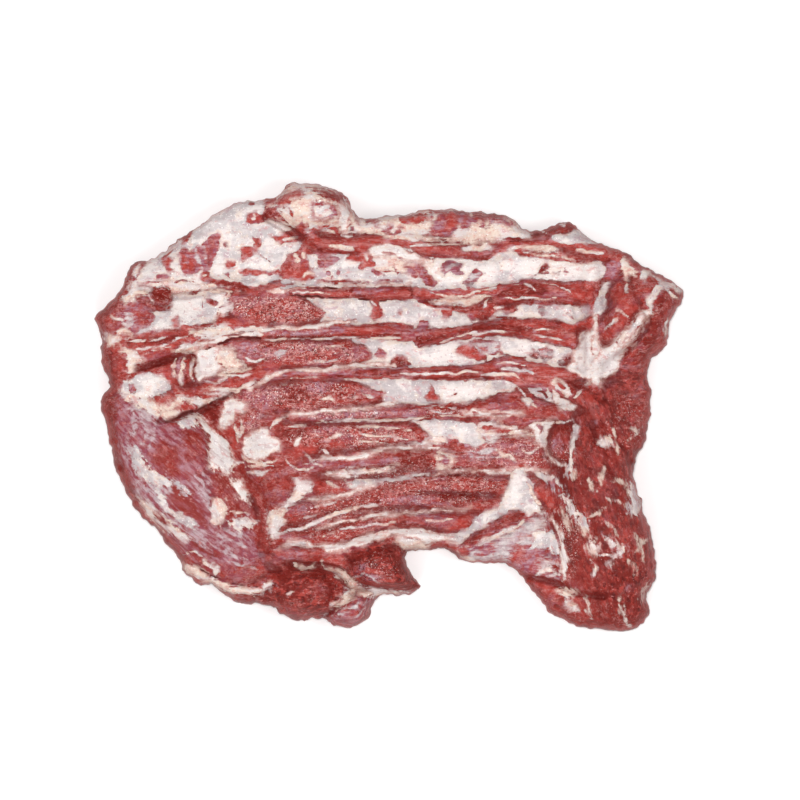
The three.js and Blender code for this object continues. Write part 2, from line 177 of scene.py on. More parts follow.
# Painted in this order, each over what is under it: tissue, half width of a stroke (- for a patch
# with a closed outline), rise of its layer, path. A path runs on in the rows that are set in.
LAYERS = """
# Pale fields
fascia - 1 -376,160 -366,178 -352,196 -335,208 -300,228 -264,254 -220,286 -170,291 -172,268 -150,262
 -128,238 -118,222 -140,212 -150,190 -152,172 -215,163 -226,150 -222,124 -245,116 -275,110 -310,108 -345,98
 -360,102 -352,118 -330,130 -305,132 -318,140 -348,146 -366,140
fat - 0.3 -368,170 -352,176 -338,168 -330,172 -300,176 -262,170 -240,172 -215,168 -212,163 -230,158 -262,158
 -300,154 -335,156 -352,152 -366,140 -370,150
fat - 0.2 -226,160 -205,162 -214,142 -222,124 -246,116 -240,128 -232,140
cloud - 0 -305,206 -292,214 -292,196 -282,184 -300,178
cloud - 0 -248,205 -240,214 -230,206 -232,186 -228,178 -246,182
cloud - 0 -210,272 -176,288 -176,272 -205,262
cloud - 0 -300,150 -262,150 -256,132 -282,116 -300,128
fat - 1.5 -172,262 -165,285 -150,299 -132,312 -110,312 -62,301 -45,274 -42,262 -58,240 -76,236 -100,236
 -118,250 -128,240 -150,256
fat - 1 -60,262 -44,266 0,268 60,276 120,272 165,266 200,247 200,233 150,228 90,228 40,230 0,232 -20,240
 -40,238 -60,245
fascia - 0.3 -100,205 -60,212 -40,214 0,225 20,222 60,208 130,202 150,210 170,215 185,208 240,202 300,200
 303,190 298,176 285,172 200,172 150,165 60,160 35,165 -50,168 -150,170 -152,180 -105,192
fascia - 0 -135,150 -60,150 30,148 50,140 100,130 150,128 180,140 280,140 285,125 255,112 235,120 150,122
 100,110 50,106 0,114 -60,112 -100,108 -90,125 -100,140
fascia - 0 -55,92 -30,80 -20,66 -40,58 -80,52 20,50 60,54 130,58 200,62 250,52 258,60 262,80 200,90 150,96
 100,92 60,84 30,88 -10,92
fascia - 0 -60,38 30,37 100,35 160,36 182,28 170,18 140,10 120,4 60,2 0,0 -12,6 -5,18 -30,26
fascia - 0 35,-22 80,-20 120,-26 130,-36 148,-38 148,-50 120,-58 100,-50 85,-45 60,-55 0,-58 40,-50 60,-42
 45,-30
cloud - 0.3 60,205 130,203 150,208 150,176 100,170 72,172 60,190
cloud - 0.3 185,205 240,200 298,198 296,176 240,174 200,176 175,185
cloud - 0.2 60,84 100,90 96,78 110,66 100,58 60,56 50,68
cloud - 0.2 180,88 200,88 196,66 180,64 165,72 168,84
cloud - 0.2 50,104 100,106 100,112 60,120 52,118
cloud - 0.2 66,34 100,34 120,30 118,12 100,4 80,2 74,14
# Top left
dark - 2 -412,120 -400,136 -385,154 -372,168 -371,176 -370,183 -362,191 -356,200 -340,202 -337,197 -345,188
 -349,176 -354,172 -364,171 -360,164 -363,156 -371,150 -367,139 -374,134 -382,124 -380,112 -392,102 -404,104
meat - 0.5 -384,146 -372,160 -364,168 -364,158 -372,150 -370,140 -378,136
fat 3.5 0.3 -348,196 -354,186 -352,178
meat - 1 -376,140 -366,128 -376,100 -392,104 -398,120
membrane - 1 -368,136 -350,140 -330,132 -322,124 -332,108 -345,106 -352,98 -366,102 -374,112 -376,122
fat 3.5 0.5 -376,98 -370,104 -362,102 -356,97
fat 2.2 0.5 -386,128 -380,120 -372,118 -366,112
film 5 0 -366,104 -360,116 -364,128
meat - 0.5 -352,132 -336,130 -326,124 -334,108 -346,108 -353,116
dark - 2 -350,152 -338,152 -331,148 -326,142 -318,138 -304,138 -300,134 -312,132 -330,134 -342,138 -352,144
dark - 4 -333,156 -327,164 -316,168 -304,163 -300,155 -300,142 -312,137 -325,142 -331,150
bright 2.5 0 -345,172 -338,168 -333,172
dark 1.2 0 -300,154 -280,158 -262,160
dark 1.2 0 -298,172 -285,174 -276,172
fat - 1 -298,170 -262,170 -250,168 -256,163 -268,160 -298,158
membrane - -0.5 -292,217 -284,219 -276,214 -268,222 -258,228 -250,238 -241,242 -233,239 -235,226 -239,211
 -243,203 -245,192 -254,186 -260,190 -266,184 -273,181 -284,184 -292,194 -292,206
bright 4.5 0 -285,213 -287,202 -283,189
bright 4 0 -275,208 -276,197 -272,188
meat 4.5 0 -243,236 -248,226 -255,216
dark 2.5 0 -246,218 -251,206 -252,194
film 1.8 0 -268,218 -266,204 -261,193
film 1.5 0 -258,224 -257,210 -254,196
membrane - -0.4 -326,182 -316,184 -308,184 -303,178 -306,174 -324,174
bright - 0 -318,204 -312,208 -300,206 -294,202 -302,199 -304,192 -300,186 -308,184 -312,192
dark 1.8 0 -316,206 -304,213 -296,218
bright - 1 -298,243 -290,240 -278,245 -275,243 -282,226 -287,223 -290,230
dark 2.6 0.5 -281,240 -286,230
fat 2.5 0.5 -296,240 -291,232
fascia 3 0.2 -262,252 -240,270 -218,282 -200,284
film 3 0.2 -258,246 -238,262 -214,276
dark 2 -0.3 -196,281 -184,282
dark - -0.5 -230,222 -228,228 -223,228 -224,220 -228,219
bright - 0 -225,203 -212,204 -210,196 -214,194 -218,191 -227,194
membrane - -0.5 -229,184 -222,187 -221,178 -218,176 -224,180
bright - 0 -209,220 -197,221 -186,220 -184,222 -192,233 -186,233 -178,231 -176,224 -179,217 -190,208
 -202,199 -204,210
dark 1.2 -0.5 -190,226 -184,220 -196,206 -202,200
dark 1 -0.3 -178,211 -172,204 -164,201 -158,203
bright - 1 -203,253 -196,266 -186,271 -176,267 -172,272 -172,284 -165,291 -159,293 -160,284 -164,278
 -158,272 -150,268 -148,262 -162,260 -176,257 -190,253
dark - 0.5 -172,272 -172,284 -166,290 -166,276 -158,270 -148,266 -160,261 -174,262
fat 2 0.3 -192,262 -184,260 -186,266
bright - 0.5 -164,236 -150,239 -136,245 -122,249 -118,243 -112,233 -118,231 -134,229 -150,226 -158,229
fat 2.2 0.3 -146,231 -132,235 -120,237
bright - 0.5 -211,182 -200,191 -180,188 -165,187 -152,189 -145,184 -165,182 -185,181 -200,181
dark - -1 -256,174 -250,180 -240,175 -222,173 -206,171 -198,167 -178,168 -150,175 -150,172 -176,163 -200,157
 -212,160 -224,164 -240,168
bright - 0 -262,182 -256,188 -250,184 -246,178 -256,174 -262,176
fat 1.8 0.3 -258,181 -252,182
meat - 0 -256,160 -240,165 -222,164 -206,160 -216,157 -240,156
fat 1.6 0.3 -250,161 -230,160 -216,158
membrane 1.6 -0.5 -256,152 -258,142 -260,130
dark - 0 -253,148 -247,151 -236,145 -234,140 -244,139 -250,142
# Upper wedge of muscle
meat - 1.5 -226,150 -215,158 -190,160 -150,157 -120,152 -100,141 -86,130 -95,121 -120,113 -150,108 -175,110
 -205,118 -222,126 -215,138
bright - 0.5 -246,112 -240,122 -225,126 -205,120 -215,112 -232,108
meat 7 0 -294,112 -294,124
# Fat knob
bright - 0.5 -160,280 -148,294 -134,300 -124,301 -114,297 -120,290 -134,286 -142,278 -152,274
dark - 0.5 -113,304 -100,302 -82,300 -64,299 -54,294 -60,286 -68,281 -78,283 -88,286 -94,294 -104,297
membrane - 0.2 -106,278 -94,286 -80,281 -72,274 -70,263 -88,256 -106,260
fascia - 0 -104,274 -92,282 -82,276 -78,266 -92,260 -102,264
membrane 3 0 -98,274 -90,280
cloud - 0 -92,262 -74,262 -76,270 -90,270
white - 0.2 -70,280 -58,282 -52,270 -54,252 -66,240 -72,256
fat 2 0 -54,276 -50,260 -54,246
dark 2.2 0 -62,294 -56,292
dark 2.2 0 -56,286 -49,282 -46,274
bright 2 0 -138,275 -134,269 -131,262
dark 1.3 -1.5 -152,262 -138,250 -120,234
# First strip of rib meat and what is round it
bright - 0.5 -129,249 -120,256 -113,252 -110,244 -112,238 -120,239 -131,236 -135,244
dark - 0 -120,252 -114,253 -112,243 -104,230 -98,221 -106,222 -116,236
meat - 1 -112,238 -104,229 -98,221 -90,220 -80,223 -72,229 -60,229 -50,224 -40,222 -34,228 -22,229 -6,230
 12,228 26,226 26,230 10,233 -8,235 -18,240 -36,240 -48,234 -62,232 -84,232 -96,238 -104,242
bright - 0.5 -104,247 -92,252 -76,251 -69,244 -58,238 -70,233 -84,234 -94,238 -106,240
fat 2.8 0.3 -94,243 -84,244 -76,240
fat 2.2 0.3 -70,240 -60,235 -48,236
fat 3.4 0.5 -82,222 -66,221 -50,218
dark - -0.5 -98,219 -84,219 -66,216 -58,213 -70,211 -84,213 -96,213
meat - 0.5 -143,210 -134,208 -124,214 -110,220 -99,219 -92,212 -98,206 -104,209 -110,205 -113,197 -105,190
 -103,181 -112,177 -130,177 -149,180 -146,191 -139,200
bright - 0 -150,181 -130,188 -105,188 -101,180 -112,175 -130,174 -148,177
fat 3 0.5 -129,212 -126,204 -128,198
fat 2.2 0.5 -120,212 -117,205
fascia - 0.5 -112,208 -102,212 -98,206 -100,194 -104,190 -112,192 -112,200
fat 1.8 0.3 -120,181 -110,186 -102,184
membrane - -0.3 -100,198 -92,206 -80,209 -70,206 -72,199 -84,197 -90,190 -98,192
meat - 0.3 -90,206 -80,208 -71,206 -74,201 -86,201
membrane 3 -0.5 -71,188 -68,182
membrane 2.6 -0.5 -86,187 -83,182
membrane 2.2 -0.3 -79,182 -79,178
bright - 0.3 -58,210 -46,212 -40,218 -27,218 -20,212 -22,204 -13,196 -17,191 -30,194 -34,189 -40,190 -38,198
 -50,201 -58,203
fat 1.6 0.3 -40,212 -30,208 -32,200
white - 0.6 -30,214 -20,222 0,226 18,222 34,213 50,207 62,205 60,198 40,200 20,206 0,208 -20,206
fat - 0.3 -20,206 0,208 20,204 32,198 20,186 -4,184 -16,190
dark 1.8 -0.5 -7,215 2,213 11,208
membrane 2.4 0 6,192 12,186 14,182
membrane - 0 22,199 30,200 38,190 42,180 36,176 28,184
membrane 3 0 -22,190 -12,184 -4,180
bright - 0.3 -60,211 -50,215 -38,222 -28,221 -24,212 -36,206 -50,204
membrane - 0 -98,200 -90,208 -76,209 -66,205 -70,198 -84,196
membrane - -0.5 -100,175 -60,174 -20,175 20,174 20,172 -40,171 -100,172
white - 1 -168,160 -150,163 -128,166 -100,169 -40,170 32,170 32,166 -40,163 -100,164 -140,158 -158,156
fascia 1.6 0 -150,164 -120,168 -80,167 -40,167
dark - 1 -144,160 -120,163 -60,164 -40,166 0,166 32,166 36,156 32,148 0,147 -40,149 -62,151 -100,152
 -140,151
bright - 0.5 -132,158 -110,160 -60,160 -50,156 -66,153 -100,154 -128,155
membrane - 0.2 -48,163 -20,164 10,163 0,157 -30,157 -48,158
meat - 0.3 -10,158 20,160 32,158 32,150 0,149 -30,152
slot 1.1 -1 -140,153 -118,153 -90,152 -62,151 -50,149 0,147
slot 0.8 -0.6 -120,163 -90,164 -62,164
fat 1.1 0.3 -132,157 -110,158 -80,157
bright - 0.5 -24,149 -14,150 -13,141 -9,132 -7,124 -11,119 -22,119 -28,125 -22,134 -26,142
meat - 0.5 -26,128 -20,134 -12,132 -8,125 -11,120 -22,120
fat 1.8 0.2 -24,146 -18,140
membrane - -0.3 11,125 14,131 19,133 17,127
membrane - 0.8 24,200 46,200 52,190 60,180 68,172 66,165 52,166 44,176 37,186 28,192
meat - 0.2 42,198 47,198 54,186 64,173 60,168 54,176 47,186
membrane - 0 -34,252 -29,261 -20,262 -14,257 -17,247 -20,250 -25,256 -29,252
membrane 3.4 0 -51,249 -48,243
membrane 3 0 -47,260 -43,254
membrane - 0 -12,244 -4,246 0,254 7,255 6,247 4,240 10,240 14,250 21,250 22,244 16,240 10,236 -2,238 -6,242
bright - 1 13,258 20,266 38,267 54,269 58,262 47,253 36,250 24,250 17,254
dark 2.2 0.3 30,262 44,266 54,266
membrane - 0.5 57,262 60,272 70,276 82,270 100,274 112,272 126,271 132,268 148,270 160,269 166,262 172,257
 179,251 166,250 158,254 148,256 144,250 134,248 128,256 118,254 112,246 104,248 96,250 94,240 88,234 72,233
 60,238 53,238 58,246 64,256
bright - 0.4 74,268 90,270 97,262 95,250 88,240 78,240 76,250 80,258
fat 3 0.3 62,270 68,264 64,258
dark - 0.8 120,269 132,268 148,270 160,270 167,262 160,256 150,258 144,262 136,254 128,256 122,260
fat 2.6 0.2 112,270 118,264
fat 3 0.3 140,258 136,250
meat - 1 25,228 60,226 100,226 130,227 150,232 168,234 175,232 227,236 230,227 205,226 180,222 166,218
 150,209 140,201 127,200 100,204 60,206 44,207 34,213
bright - 0.4 60,224 100,224 102,214 80,213 60,216 50,220
dark - 0.2 50,211 90,209 120,208 140,208 148,212 140,202 127,201 100,205 60,207
dark 2 0.2 168,228 190,229 225,230
fat - 0.6 104,221 122,224 142,223 149,218 130,214 106,214
fat 1.5 0.5 30,222 60,224 100,225 130,226
bright - 0.8 176,214 190,217 210,213 232,211 262,204 285,201 262,199 240,201 215,206 195,208 182,211
fat 1.3 0.3 186,214 205,211 240,206 262,202
fat - 0.3 168,218 182,222 205,225 230,222 240,216 210,215 190,219 176,216
bright - 1 232,222 250,225 270,223 300,226 330,220 333,213 320,204 300,200 282,203 276,210 262,214 245,217
meat - 0.4 280,218 300,222 326,216 322,208 304,202 288,206
fat 2 0.5 262,217 280,215 300,212
fascia - 0.5 227,236 240,240 256,243 270,246 282,239 288,232 296,226 270,225 240,226 230,228
dark - 1.5 200,238 206,242 212,243 214,250 230,250 240,252 250,257 253,251 260,248 256,243 240,242 228,240
 226,232 220,234 218,240 208,238
fat 2 0.5 212,244 220,243 222,238
fat 1.8 0.5 240,252 250,255
membrane - -0.5 70,187 75,198 85,203 95,199 106,197 100,190 106,184 96,180 88,185 79,180
veil - 0 64,180 76,200 108,200 104,176
film 2 0 78,184 90,196 100,200
membrane - -0.5 104,172 112,182 121,189 133,184 127,177 122,168 112,163 108,168
film - 0 104,172 116,184 128,180 116,168
film - 0 138,174 150,184 158,176 148,168
dark - -1 202,180 208,184 214,192 220,200 226,194 221,188 226,184 236,187 241,192 238,183 224,181 214,182
fat 1.3 0 211,183 220,186 232,184
membrane 1.8 -0.4 243,188 250,187
film - 0 252,182 268,188 272,178 258,176
# Second strip
bright - 1 36,156 60,158 80,158 92,153 110,159 130,161 150,165 165,171 160,160 146,152 130,154 110,150
 90,150 70,148 52,148 38,150
fat - 0.3 54,147 70,149 90,151 110,151 130,155 142,153 134,146 120,140 100,138 80,138 62,142
fat 1.4 0.3 60,158 90,151 120,158 150,164
dark - 1 36,152 46,146 58,138 70,134 90,131 110,131 126,134 136,140 142,146 150,154 140,150 130,143 110,138
 90,138 70,140 56,146 44,152
meat - 1.5 138,142 146,156 158,166 172,171 185,175 210,176 240,172 262,171 276,173 286,167 288,158 285,148
 277,138 262,136 250,140 225,143 200,145 180,146 165,145 150,143
dark - 0.5 142,146 150,155 162,160 176,166 195,168 215,167 226,160 215,155 200,155 180,151 160,149
bright - 0.5 256,172 276,173 286,166 287,156 281,142 266,138 257,150
fat 1.4 0.3 158,148 180,149 205,150 235,149
dark 1.2 -0.3 165,145 200,147 230,145 255,141
fat 1.2 0.3 215,170 240,164 256,156
fat 1 0.3 170,170 190,168 206,160
dark - 0.5 134,146 142,150 150,146 162,144 176,142 178,133 172,128 160,129 156,134 148,132 146,138 138,138
white 2.2 0.5 146,130 150,135 160,137
fat 1.4 0.3 132,132 138,142 141,148
fat 1.2 0.2 150,124 165,122 182,122
bright - 0.5 104,131 112,123 118,117 124,122 130,117 140,122 150,124 151,132 144,140 136,136 128,132 116,131
dark - 0.2 126,130 132,133 142,128 140,119 132,117 127,122
membrane - 0.2 106,128 114,130 122,126 118,117 112,122
bright - 0.5 72,132 90,133 87,125 85,121 80,118 75,122
membrane - -0.5 206,134 210,139 220,136 223,128 216,124 208,128
film - 0 206,132 222,138 224,126 210,124
membrane 3 -0.5 250,128 256,124 260,121
film - 0 236,128 252,132 262,124 250,118 238,122
# Third strip
white - 0.8 -175,109 -140,110 -110,112 -80,116 -45,120 -44,117 -70,112 -100,108 -140,105 -175,104
membrane - 1 -175,103 -140,104 -100,106 -60,110 -44,112 -44,102 -80,99 -120,98 -170,98
meat - 1 -62,110 -30,112 0,112 34,112 36,98 0,97 -40,99 -58,102
bright 1.8 0.3 -30,113 0,113 32,112
dark 2.4 0.5 -175,95 -120,95 -60,96 20,98
fat 1.5 0.5 -175,92 -110,93 -40,94 20,94
dark 1.2 0 -170,89 -110,90 -60,91
membrane - 0.3 38,104 40,114 48,119 56,116 58,108 54,102 46,100
meat - 1.5 34,104 60,105 80,108 100,110 130,115 160,120 190,121 215,120 232,119 244,110 256,106 264,104
 265,90 262,78 250,80 225,85 200,90 184,98 165,97 150,97 130,99 112,97 100,93 80,89 60,84 40,80 34,86
dark - 0.5 38,97 60,98 90,102 112,106 130,112 155,114 195,115 208,106 185,101 160,102 130,100 100,96 72,92
 50,84 38,84
bright - 0.3 150,118 180,120 215,119 230,117 228,110 205,108 190,112 165,112
bright - 0.3 206,98 225,93 245,90 262,90 262,80 240,82 215,88 198,94
fat 1.6 0.3 118,98 150,102 185,101
fat 1.3 0.3 202,104 215,106 230,104
fat 1.3 0.3 200,100 225,94 246,92
fat 1.2 0.3 70,88 90,94 110,100 125,102
bright - 1.5 238,110 250,110 262,114 272,122 282,127 288,124 290,114 284,107 270,101 258,101 246,104
fascia - 0.5 284,133 288,146 294,160 302,173 308,172 306,160 301,150 300,140 306,136 300,127 292,126 286,124
# Neck end of the ribs: oval muscle, forked tendon, outer band
white - 2.5 283,126 290,125 292,110 295,90 299,81 308,84 320,98 334,112 346,128 354,135 364,134 366,128
 359,118 354,104 348,92 340,84 331,76 323,64 321,50 310,42 299,36 293,24 288,20 280,34 266,38 256,44 248,51
 254,62 257,76 262,84 266,98 272,102 281,105 288,114
fascia - 0 316,88 334,108 348,126 356,126 350,112 338,98 322,84
dark 1.2 -0.4 341,97 346,106 350,114
fascia - 0 286,98 292,92 296,78 288,66 282,76 284,90
meat - 2.5 294,124 302,128 309,132 312,140 308,150 307,160 312,168 318,173 326,171 330,162 333,160 333,172
 335,179 341,181 345,174 350,162 358,146 361,138 351,133 345,128 334,112 320,98 308,85 300,82 296,92 293,108
bright - 0.5 314,160 320,170 327,164 332,150 344,144 352,138 342,128 328,112 314,100 304,90 300,98 308,106
 320,118 322,134 314,146
fat 1.8 0.5 330,172 333,163 336,156
fat 2.4 0.5 302,108 309,116 317,122
fat 1.2 0.3 316,134 326,128 334,120
meat - 1 395,152 391,162 386,165 377,161 368,148 364,134 357,114 350,92 337,76 325,63 320,50 330,28 352,40
 362,56 372,72 379,78 388,86 388,96 393,108 399,128 404,142
dark - 0.3 378,158 386,160 390,150 388,130 380,110 374,90 362,72 352,60 344,64 356,84 364,108 370,134
fat - 0.4 328,76 342,86 353,100 360,118 366,132 369,140 365,141 361,132 357,118 350,104 340,92 328,82
bright 1.6 0.2 332,76 345,90 356,108
fat 2.6 0.8 392,120 387,108 386,96
bright - 1 328,208 340,203 350,196 360,190 364,182 362,174 357,176 356,184 348,184 342,190 335,196
fascia - 0.8 350,178 358,174 365,184 374,177 381,170 372,166 365,159 361,150 360,140 365,136 369,147 379,160
 388,164 392,158 397,150 404,153 412,159 409,163 398,169 388,173 376,178 364,188 356,190 352,184
dark - 0.3 390,163 394,151 398,139 406,147 412,157 404,159 397,164
fat 1.8 0.3 393,160 397,152 402,150
membrane - 0.5 300,177 303,188 302,198 310,202 324,200 327,190 328,180 318,174 308,173
fat - 0.5 324,202 329,206 336,199 340,192 348,187 344,180 335,181 331,174 328,184
# Blade end on the left
fat - 0.5 -398,98 -386,99 -377,97 -374,92 -378,84 -386,81 -393,84
dark - 0.5 -400,80 -392,82 -384,76 -378,64 -382,50 -376,40 -384,28 -392,30 -398,52
bright - 0.3 -374,94 -366,98 -350,95 -330,96 -312,103 -300,106 -290,109 -284,113 -276,112 -268,107 -262,104
 -262,96 -280,90 -300,82 -312,74 -330,68 -350,69 -360,78 -370,84
dark - 0.5 -370,96 -362,97 -348,94 -352,86 -366,84
dark - 0.5 -318,95 -300,100 -290,98 -300,88 -315,82 -330,80 -345,82 -336,90
fat 1.4 0.3 -366,92 -345,90 -325,92 -305,98
fat 1.2 0.3 -350,79 -330,80 -312,84 -296,92 -275,98
fat 1.2 0.3 -338,73 -320,76 -304,82
fat - 0.5 -376,84 -366,82 -352,76 -345,68 -338,62 -350,58 -353,49 -358,43 -364,47 -362,60 -367,70
bright - 0.3 -299,104 -297,124 -292,128 -289,124 -289,111
fat - 0.5 -278,104 -262,104 -244,112 -232,112 -215,106 -228,100 -250,94 -270,96
bright - 0.3 -247,116 -242,122 -234,127 -226,122 -215,118 -200,119 -196,112 -215,111 -232,109 -240,108
dark - -1.5 -349,50 -341,58 -325,62 -312,68 -300,75 -296,82 -288,84 -296,76 -302,66 -306,57 -318,52 -330,46
 -342,43
bright - 0.5 -322,44 -306,52 -296,48 -294,30 -300,24 -306,36
fat - 2 -301,72 -296,79 -285,84 -268,88 -258,86 -262,76 -270,73 -285,71
dark - -0.5 -308,66 -300,72 -268,73 -266,60 -268,34 -276,24 -290,24 -298,34 -303,50
fat 1.6 0.8 -297,66 -300,52 -296,38
membrane 3 0.5 -290,68 -292,52 -288,34
fat 2.2 0.8 -283,68 -286,56 -290,40 -288,28
meat 3 0.5 -278,68 -280,48 -276,30
fat 1.6 0.8 -274,66 -276,50 -272,34
white - 1 -269,72 -262,81 -250,80 -240,85 -228,84 -215,78 -212,68 -205,60 -198,56 -205,51 -230,50 -245,42
 -255,40 -265,30 -268,40 -270,55
fat - 0.3 -235,84 -222,82 -212,70 -204,60 -198,56 -206,52 -228,52 -238,64
fat 3.6 0.5 -262,92 -240,96 -215,103 -190,106 -160,106
white 3 0.8 -262,86 -240,91 -215,97 -175,99
dark 1.4 -0.5 -228,97 -210,101 -190,102
slot 1.4 -1 -256,78 -240,84 -222,92 -205,95 -175,94
fascia - 0.5 -375,20 -366,30 -368,34 -358,34 -350,43 -330,45 -320,42 -310,38 -303,29 -299,22 -306,20 -320,14
 -328,11 -345,8 -360,10 -372,13
membrane 6 0 -358,26 -352,22
cloud - 0 -346,40 -330,42 -316,36 -330,26 -344,30
fat - 0.5 -376,18 -366,16 -345,9 -328,10 -322,2 -316,-6 -314,-16 -324,-16 -336,-8 -350,2 -366,6
film 9 0 -346,2 -336,-10 -330,-24
meat - 0.5 -262,32 -245,42 -225,50 -200,52 -180,56 -175,48 -195,36 -222,26 -245,26
fat 1.4 0.3 -256,36 -240,32 -225,38
fat 1.8 0.3 -232,47 -210,48 -190,52
fat 2.4 0.5 -240,43 -215,41 -190,44
bright - 0.5 -236,22 -222,32 -200,34 -182,44 -172,38 -190,24 -215,18
white - 0.5 -197,30 -184,36 -178,30 -188,20 -196,22
fat 2.4 0.5 -262,20 -240,24 -215,20 -196,28 -180,32
bright - 0.5 -300,24 -290,24 -270,22 -250,26 -240,20 -262,16 -280,10 -292,14
fat - 0.5 -318,-2 -300,4 -290,12 -275,10 -262,15 -240,18 -222,19 -216,16 -232,12 -250,4 -264,-4 -290,-11
 -302,-20 -312,-20
bright - 0.8 -325,11 -312,15 -300,21 -298,14 -300,6 -312,2 -321,1
bright - 0.3 -300,-4 -285,4 -270,4 -262,-2 -272,-8 -290,-9
bright 2.5 0 -262,10 -248,14 -235,15
slot - -2 -312,-26 -300,-17 -288,-11 -268,-7 -256,1 -240,8 -222,17 -214,19 -226,12 -244,2 -260,-7 -270,-12
 -288,-17 -298,-22
fascia - 1 -293,-24 -286,-16 -268,-12 -262,-11 -256,-24 -248,-36 -262,-31 -276,-30 -290,-30
dark - 0 -261,-9 -250,1 -238,8 -232,4 -234,-10 -239,-26 -240,-35 -248,-28 -256,-18
white - 1 -237,-33 -233,-12 -230,6 -222,11 -210,9 -199,2 -202,-12 -210,-12 -213,-18 -220,-28 -229,-34
white - 1 -262,-12 -255,-22 -248,-33 -240,-39 -232,-42 -222,-52 -216,-66 -213,-80 -218,-95 -224,-98 -234,-90
 -249,-84 -248,-60 -252,-44 -260,-32 -266,-22
bright - 0 -238,-38 -229,-34 -220,-28 -212,-17 -210,-30 -204,-48 -204,-62 -212,-63 -220,-50 -230,-42
fat 1.6 0.5 -214,-24 -211,-36 -208,-50
fat 1.6 0.5 -206,-16 -204,-28 -206,-44
white - 0.8 -200,-44 -190,-36 -180,-31 -168,-32 -163,-42 -152,-50 -150,-60 -160,-66 -172,-74 -186,-76
 -200,-70 -204,-60
fat 2 0.3 -202,-70 -190,-78 -176,-78
dark 3 0.5 -163,-30 -158,-40 -150,-46
# Second wedge
meat - 1.5 -226,88 -200,93 -150,91 -100,91 -50,92 -44,86 -30,80 -20,70 -30,64 -48,58 -70,55 -120,52 -165,52
 -196,56 -206,62 -212,74 -222,82
membrane - 0 -222,86 -200,90 -180,86 -186,74 -204,72 -214,78
bright - 0.3 -168,57 -156,66 -136,67 -130,60 -150,53
fascia - 0 -160,70 -152,80 -142,78 -144,72 -152,68
fat 1.2 0.2 -200,68 -186,62 -172,64
fat 1.2 0.2 -100,84 -80,82 -62,84
fat 1.2 0.2 -110,60 -90,62 -70,60
membrane - 0 -22,74 -12,80 -2,72 -4,62 -14,66
dark - 0.5 0,58 6,68 14,72 26,68 31,58 22,52 6,52
bright - 0.5 95,78 100,87 112,86 120,82 128,74 138,69 136,64 122,63 110,67 100,72
membrane - 0.3 112,90 130,92 146,92 154,88 156,78 150,71 140,70 130,75 122,83
film - 0 116,88 134,90 152,84 148,74 136,78
dark 1.4 -0.4 154,88 155,78 151,71
bright - 0.2 156,78 164,74 178,70 190,66 182,62 165,66 158,70
film - 0 160,84 174,88 178,78 166,74
dark - -0.5 196,72 200,78 212,79 216,72 208,66 198,66
membrane - -0.5 214,80 228,80 232,72 226,62 216,60 212,68
dark - -0.5 232,62 240,64 248,68 256,72 258,64 250,56 238,56
film - 0 204,72 226,78 246,72 240,60 214,62
# Fourth strip
white - 1 -185,32 -170,41 -150,49 -120,52 -80,53 -50,59 -10,60 12,59 12,54 -40,53 -70,49 -100,47 -140,46
 -166,36 -180,26
membrane - 1 -162,38 -140,45 -100,46 -70,48 -40,52 0,52 50,52 50,44 0,43 -50,42 -90,42 -130,41
dark - 0.3 -60,47 -30,50 0,50 30,51 30,44 0,43 -40,43
dark 1.6 0.3 -150,39 -120,40 -90,41 -40,41 10,41 40,40
slot 2.2 -1.5 -138,33 -118,33
fat 1.5 0.5 -142,34 -134,37 -120,37 -108,39 -96,38
fat 1.5 0.5 -150,31 -142,28 -130,26 -118,27 -106,32
meat - 1 14,53 60,53 100,54 130,60 160,68 182,66 200,60 222,56 250,50 262,42 288,30 300,18 300,4 290,-2
 270,-4 256,4 246,12 236,24 226,30 205,28 190,30 180,40 160,43 130,39 100,37 60,38 30,40
dark 2.2 0.5 30,39 80,38 130,39 160,37 176,32
dark - 0.3 60,50 90,50 120,50 150,52 180,58 200,54 186,48 160,46 130,44 100,42 60,44
fat 1.6 0.3 16,44 60,44 92,45 110,47 132,46
fat 2.2 0.4 130,42 150,45 166,44 180,40 184,36
fascia - 0.3 158,52 170,54 188,50 204,47 200,44 184,46 166,49
fat 1.2 0.3 150,58 170,60 190,56
fat - 0.2 228,32 236,42 250,30 256,18 250,10 240,16 234,24
meat - 0.2 236,36 244,32 248,22 242,20 238,28
fat 1.6 0.3 284,36 272,24 258,10
bright - 0.3 262,38 276,32 290,22 298,10 290,2 278,4 270,16
# Third wedge
meat - 1.5 -190,18 -170,26 -150,29 -110,38 -60,37 -40,30 -25,24 -10,18 -9,10 -20,3 -40,-2 -60,-4 -100,-4
 -140,-8 -178,-12 -192,0
dark - 0.3 -150,22 -130,26 -108,20 -110,10 -130,8 -148,2
membrane - 0 -186,8 -172,16 -162,8 -166,-4 -180,-6
membrane - 0 -110,26 -96,34 -84,28 -92,18 -104,16
fat 1.2 0.2 -96,8 -82,12 -70,6
fat 1.2 0.2 -46,10 -34,14 -20,9
bright - 0.8 48,12 52,17 58,20 60,30 64,28 66,20 73,14 72,8 64,5 54,8
dark 2 -0.3 90,14 94,18
film - 0 140,30 160,34 172,28 156,22
film - 0 110,32 130,34 140,24 120,14 104,22
# Fifth strip
white - 0.8 -145,-14 -118,-8 -90,-6 -60,-4 -30,-1 0,4 14,4 10,-1 -20,-5 -60,-9 -100,-12 -130,-15
membrane - 1 -132,-18 -110,-12 -60,-9 -20,-6 20,-2 42,-4 46,-16 20,-18 -20,-18 -60,-20 -90,-23 -120,-22
dark 1.8 0.3 -128,-23 -100,-24 -80,-24
dark 1.5 0.3 -60,-19 -20,-18 20,-18 60,-17
dark 1.5 0.3 0,-3 40,-4
fat 1.8 0.5 -100,-24 -80,-22 -50,-20 -10,-20 30,-19 60,-17
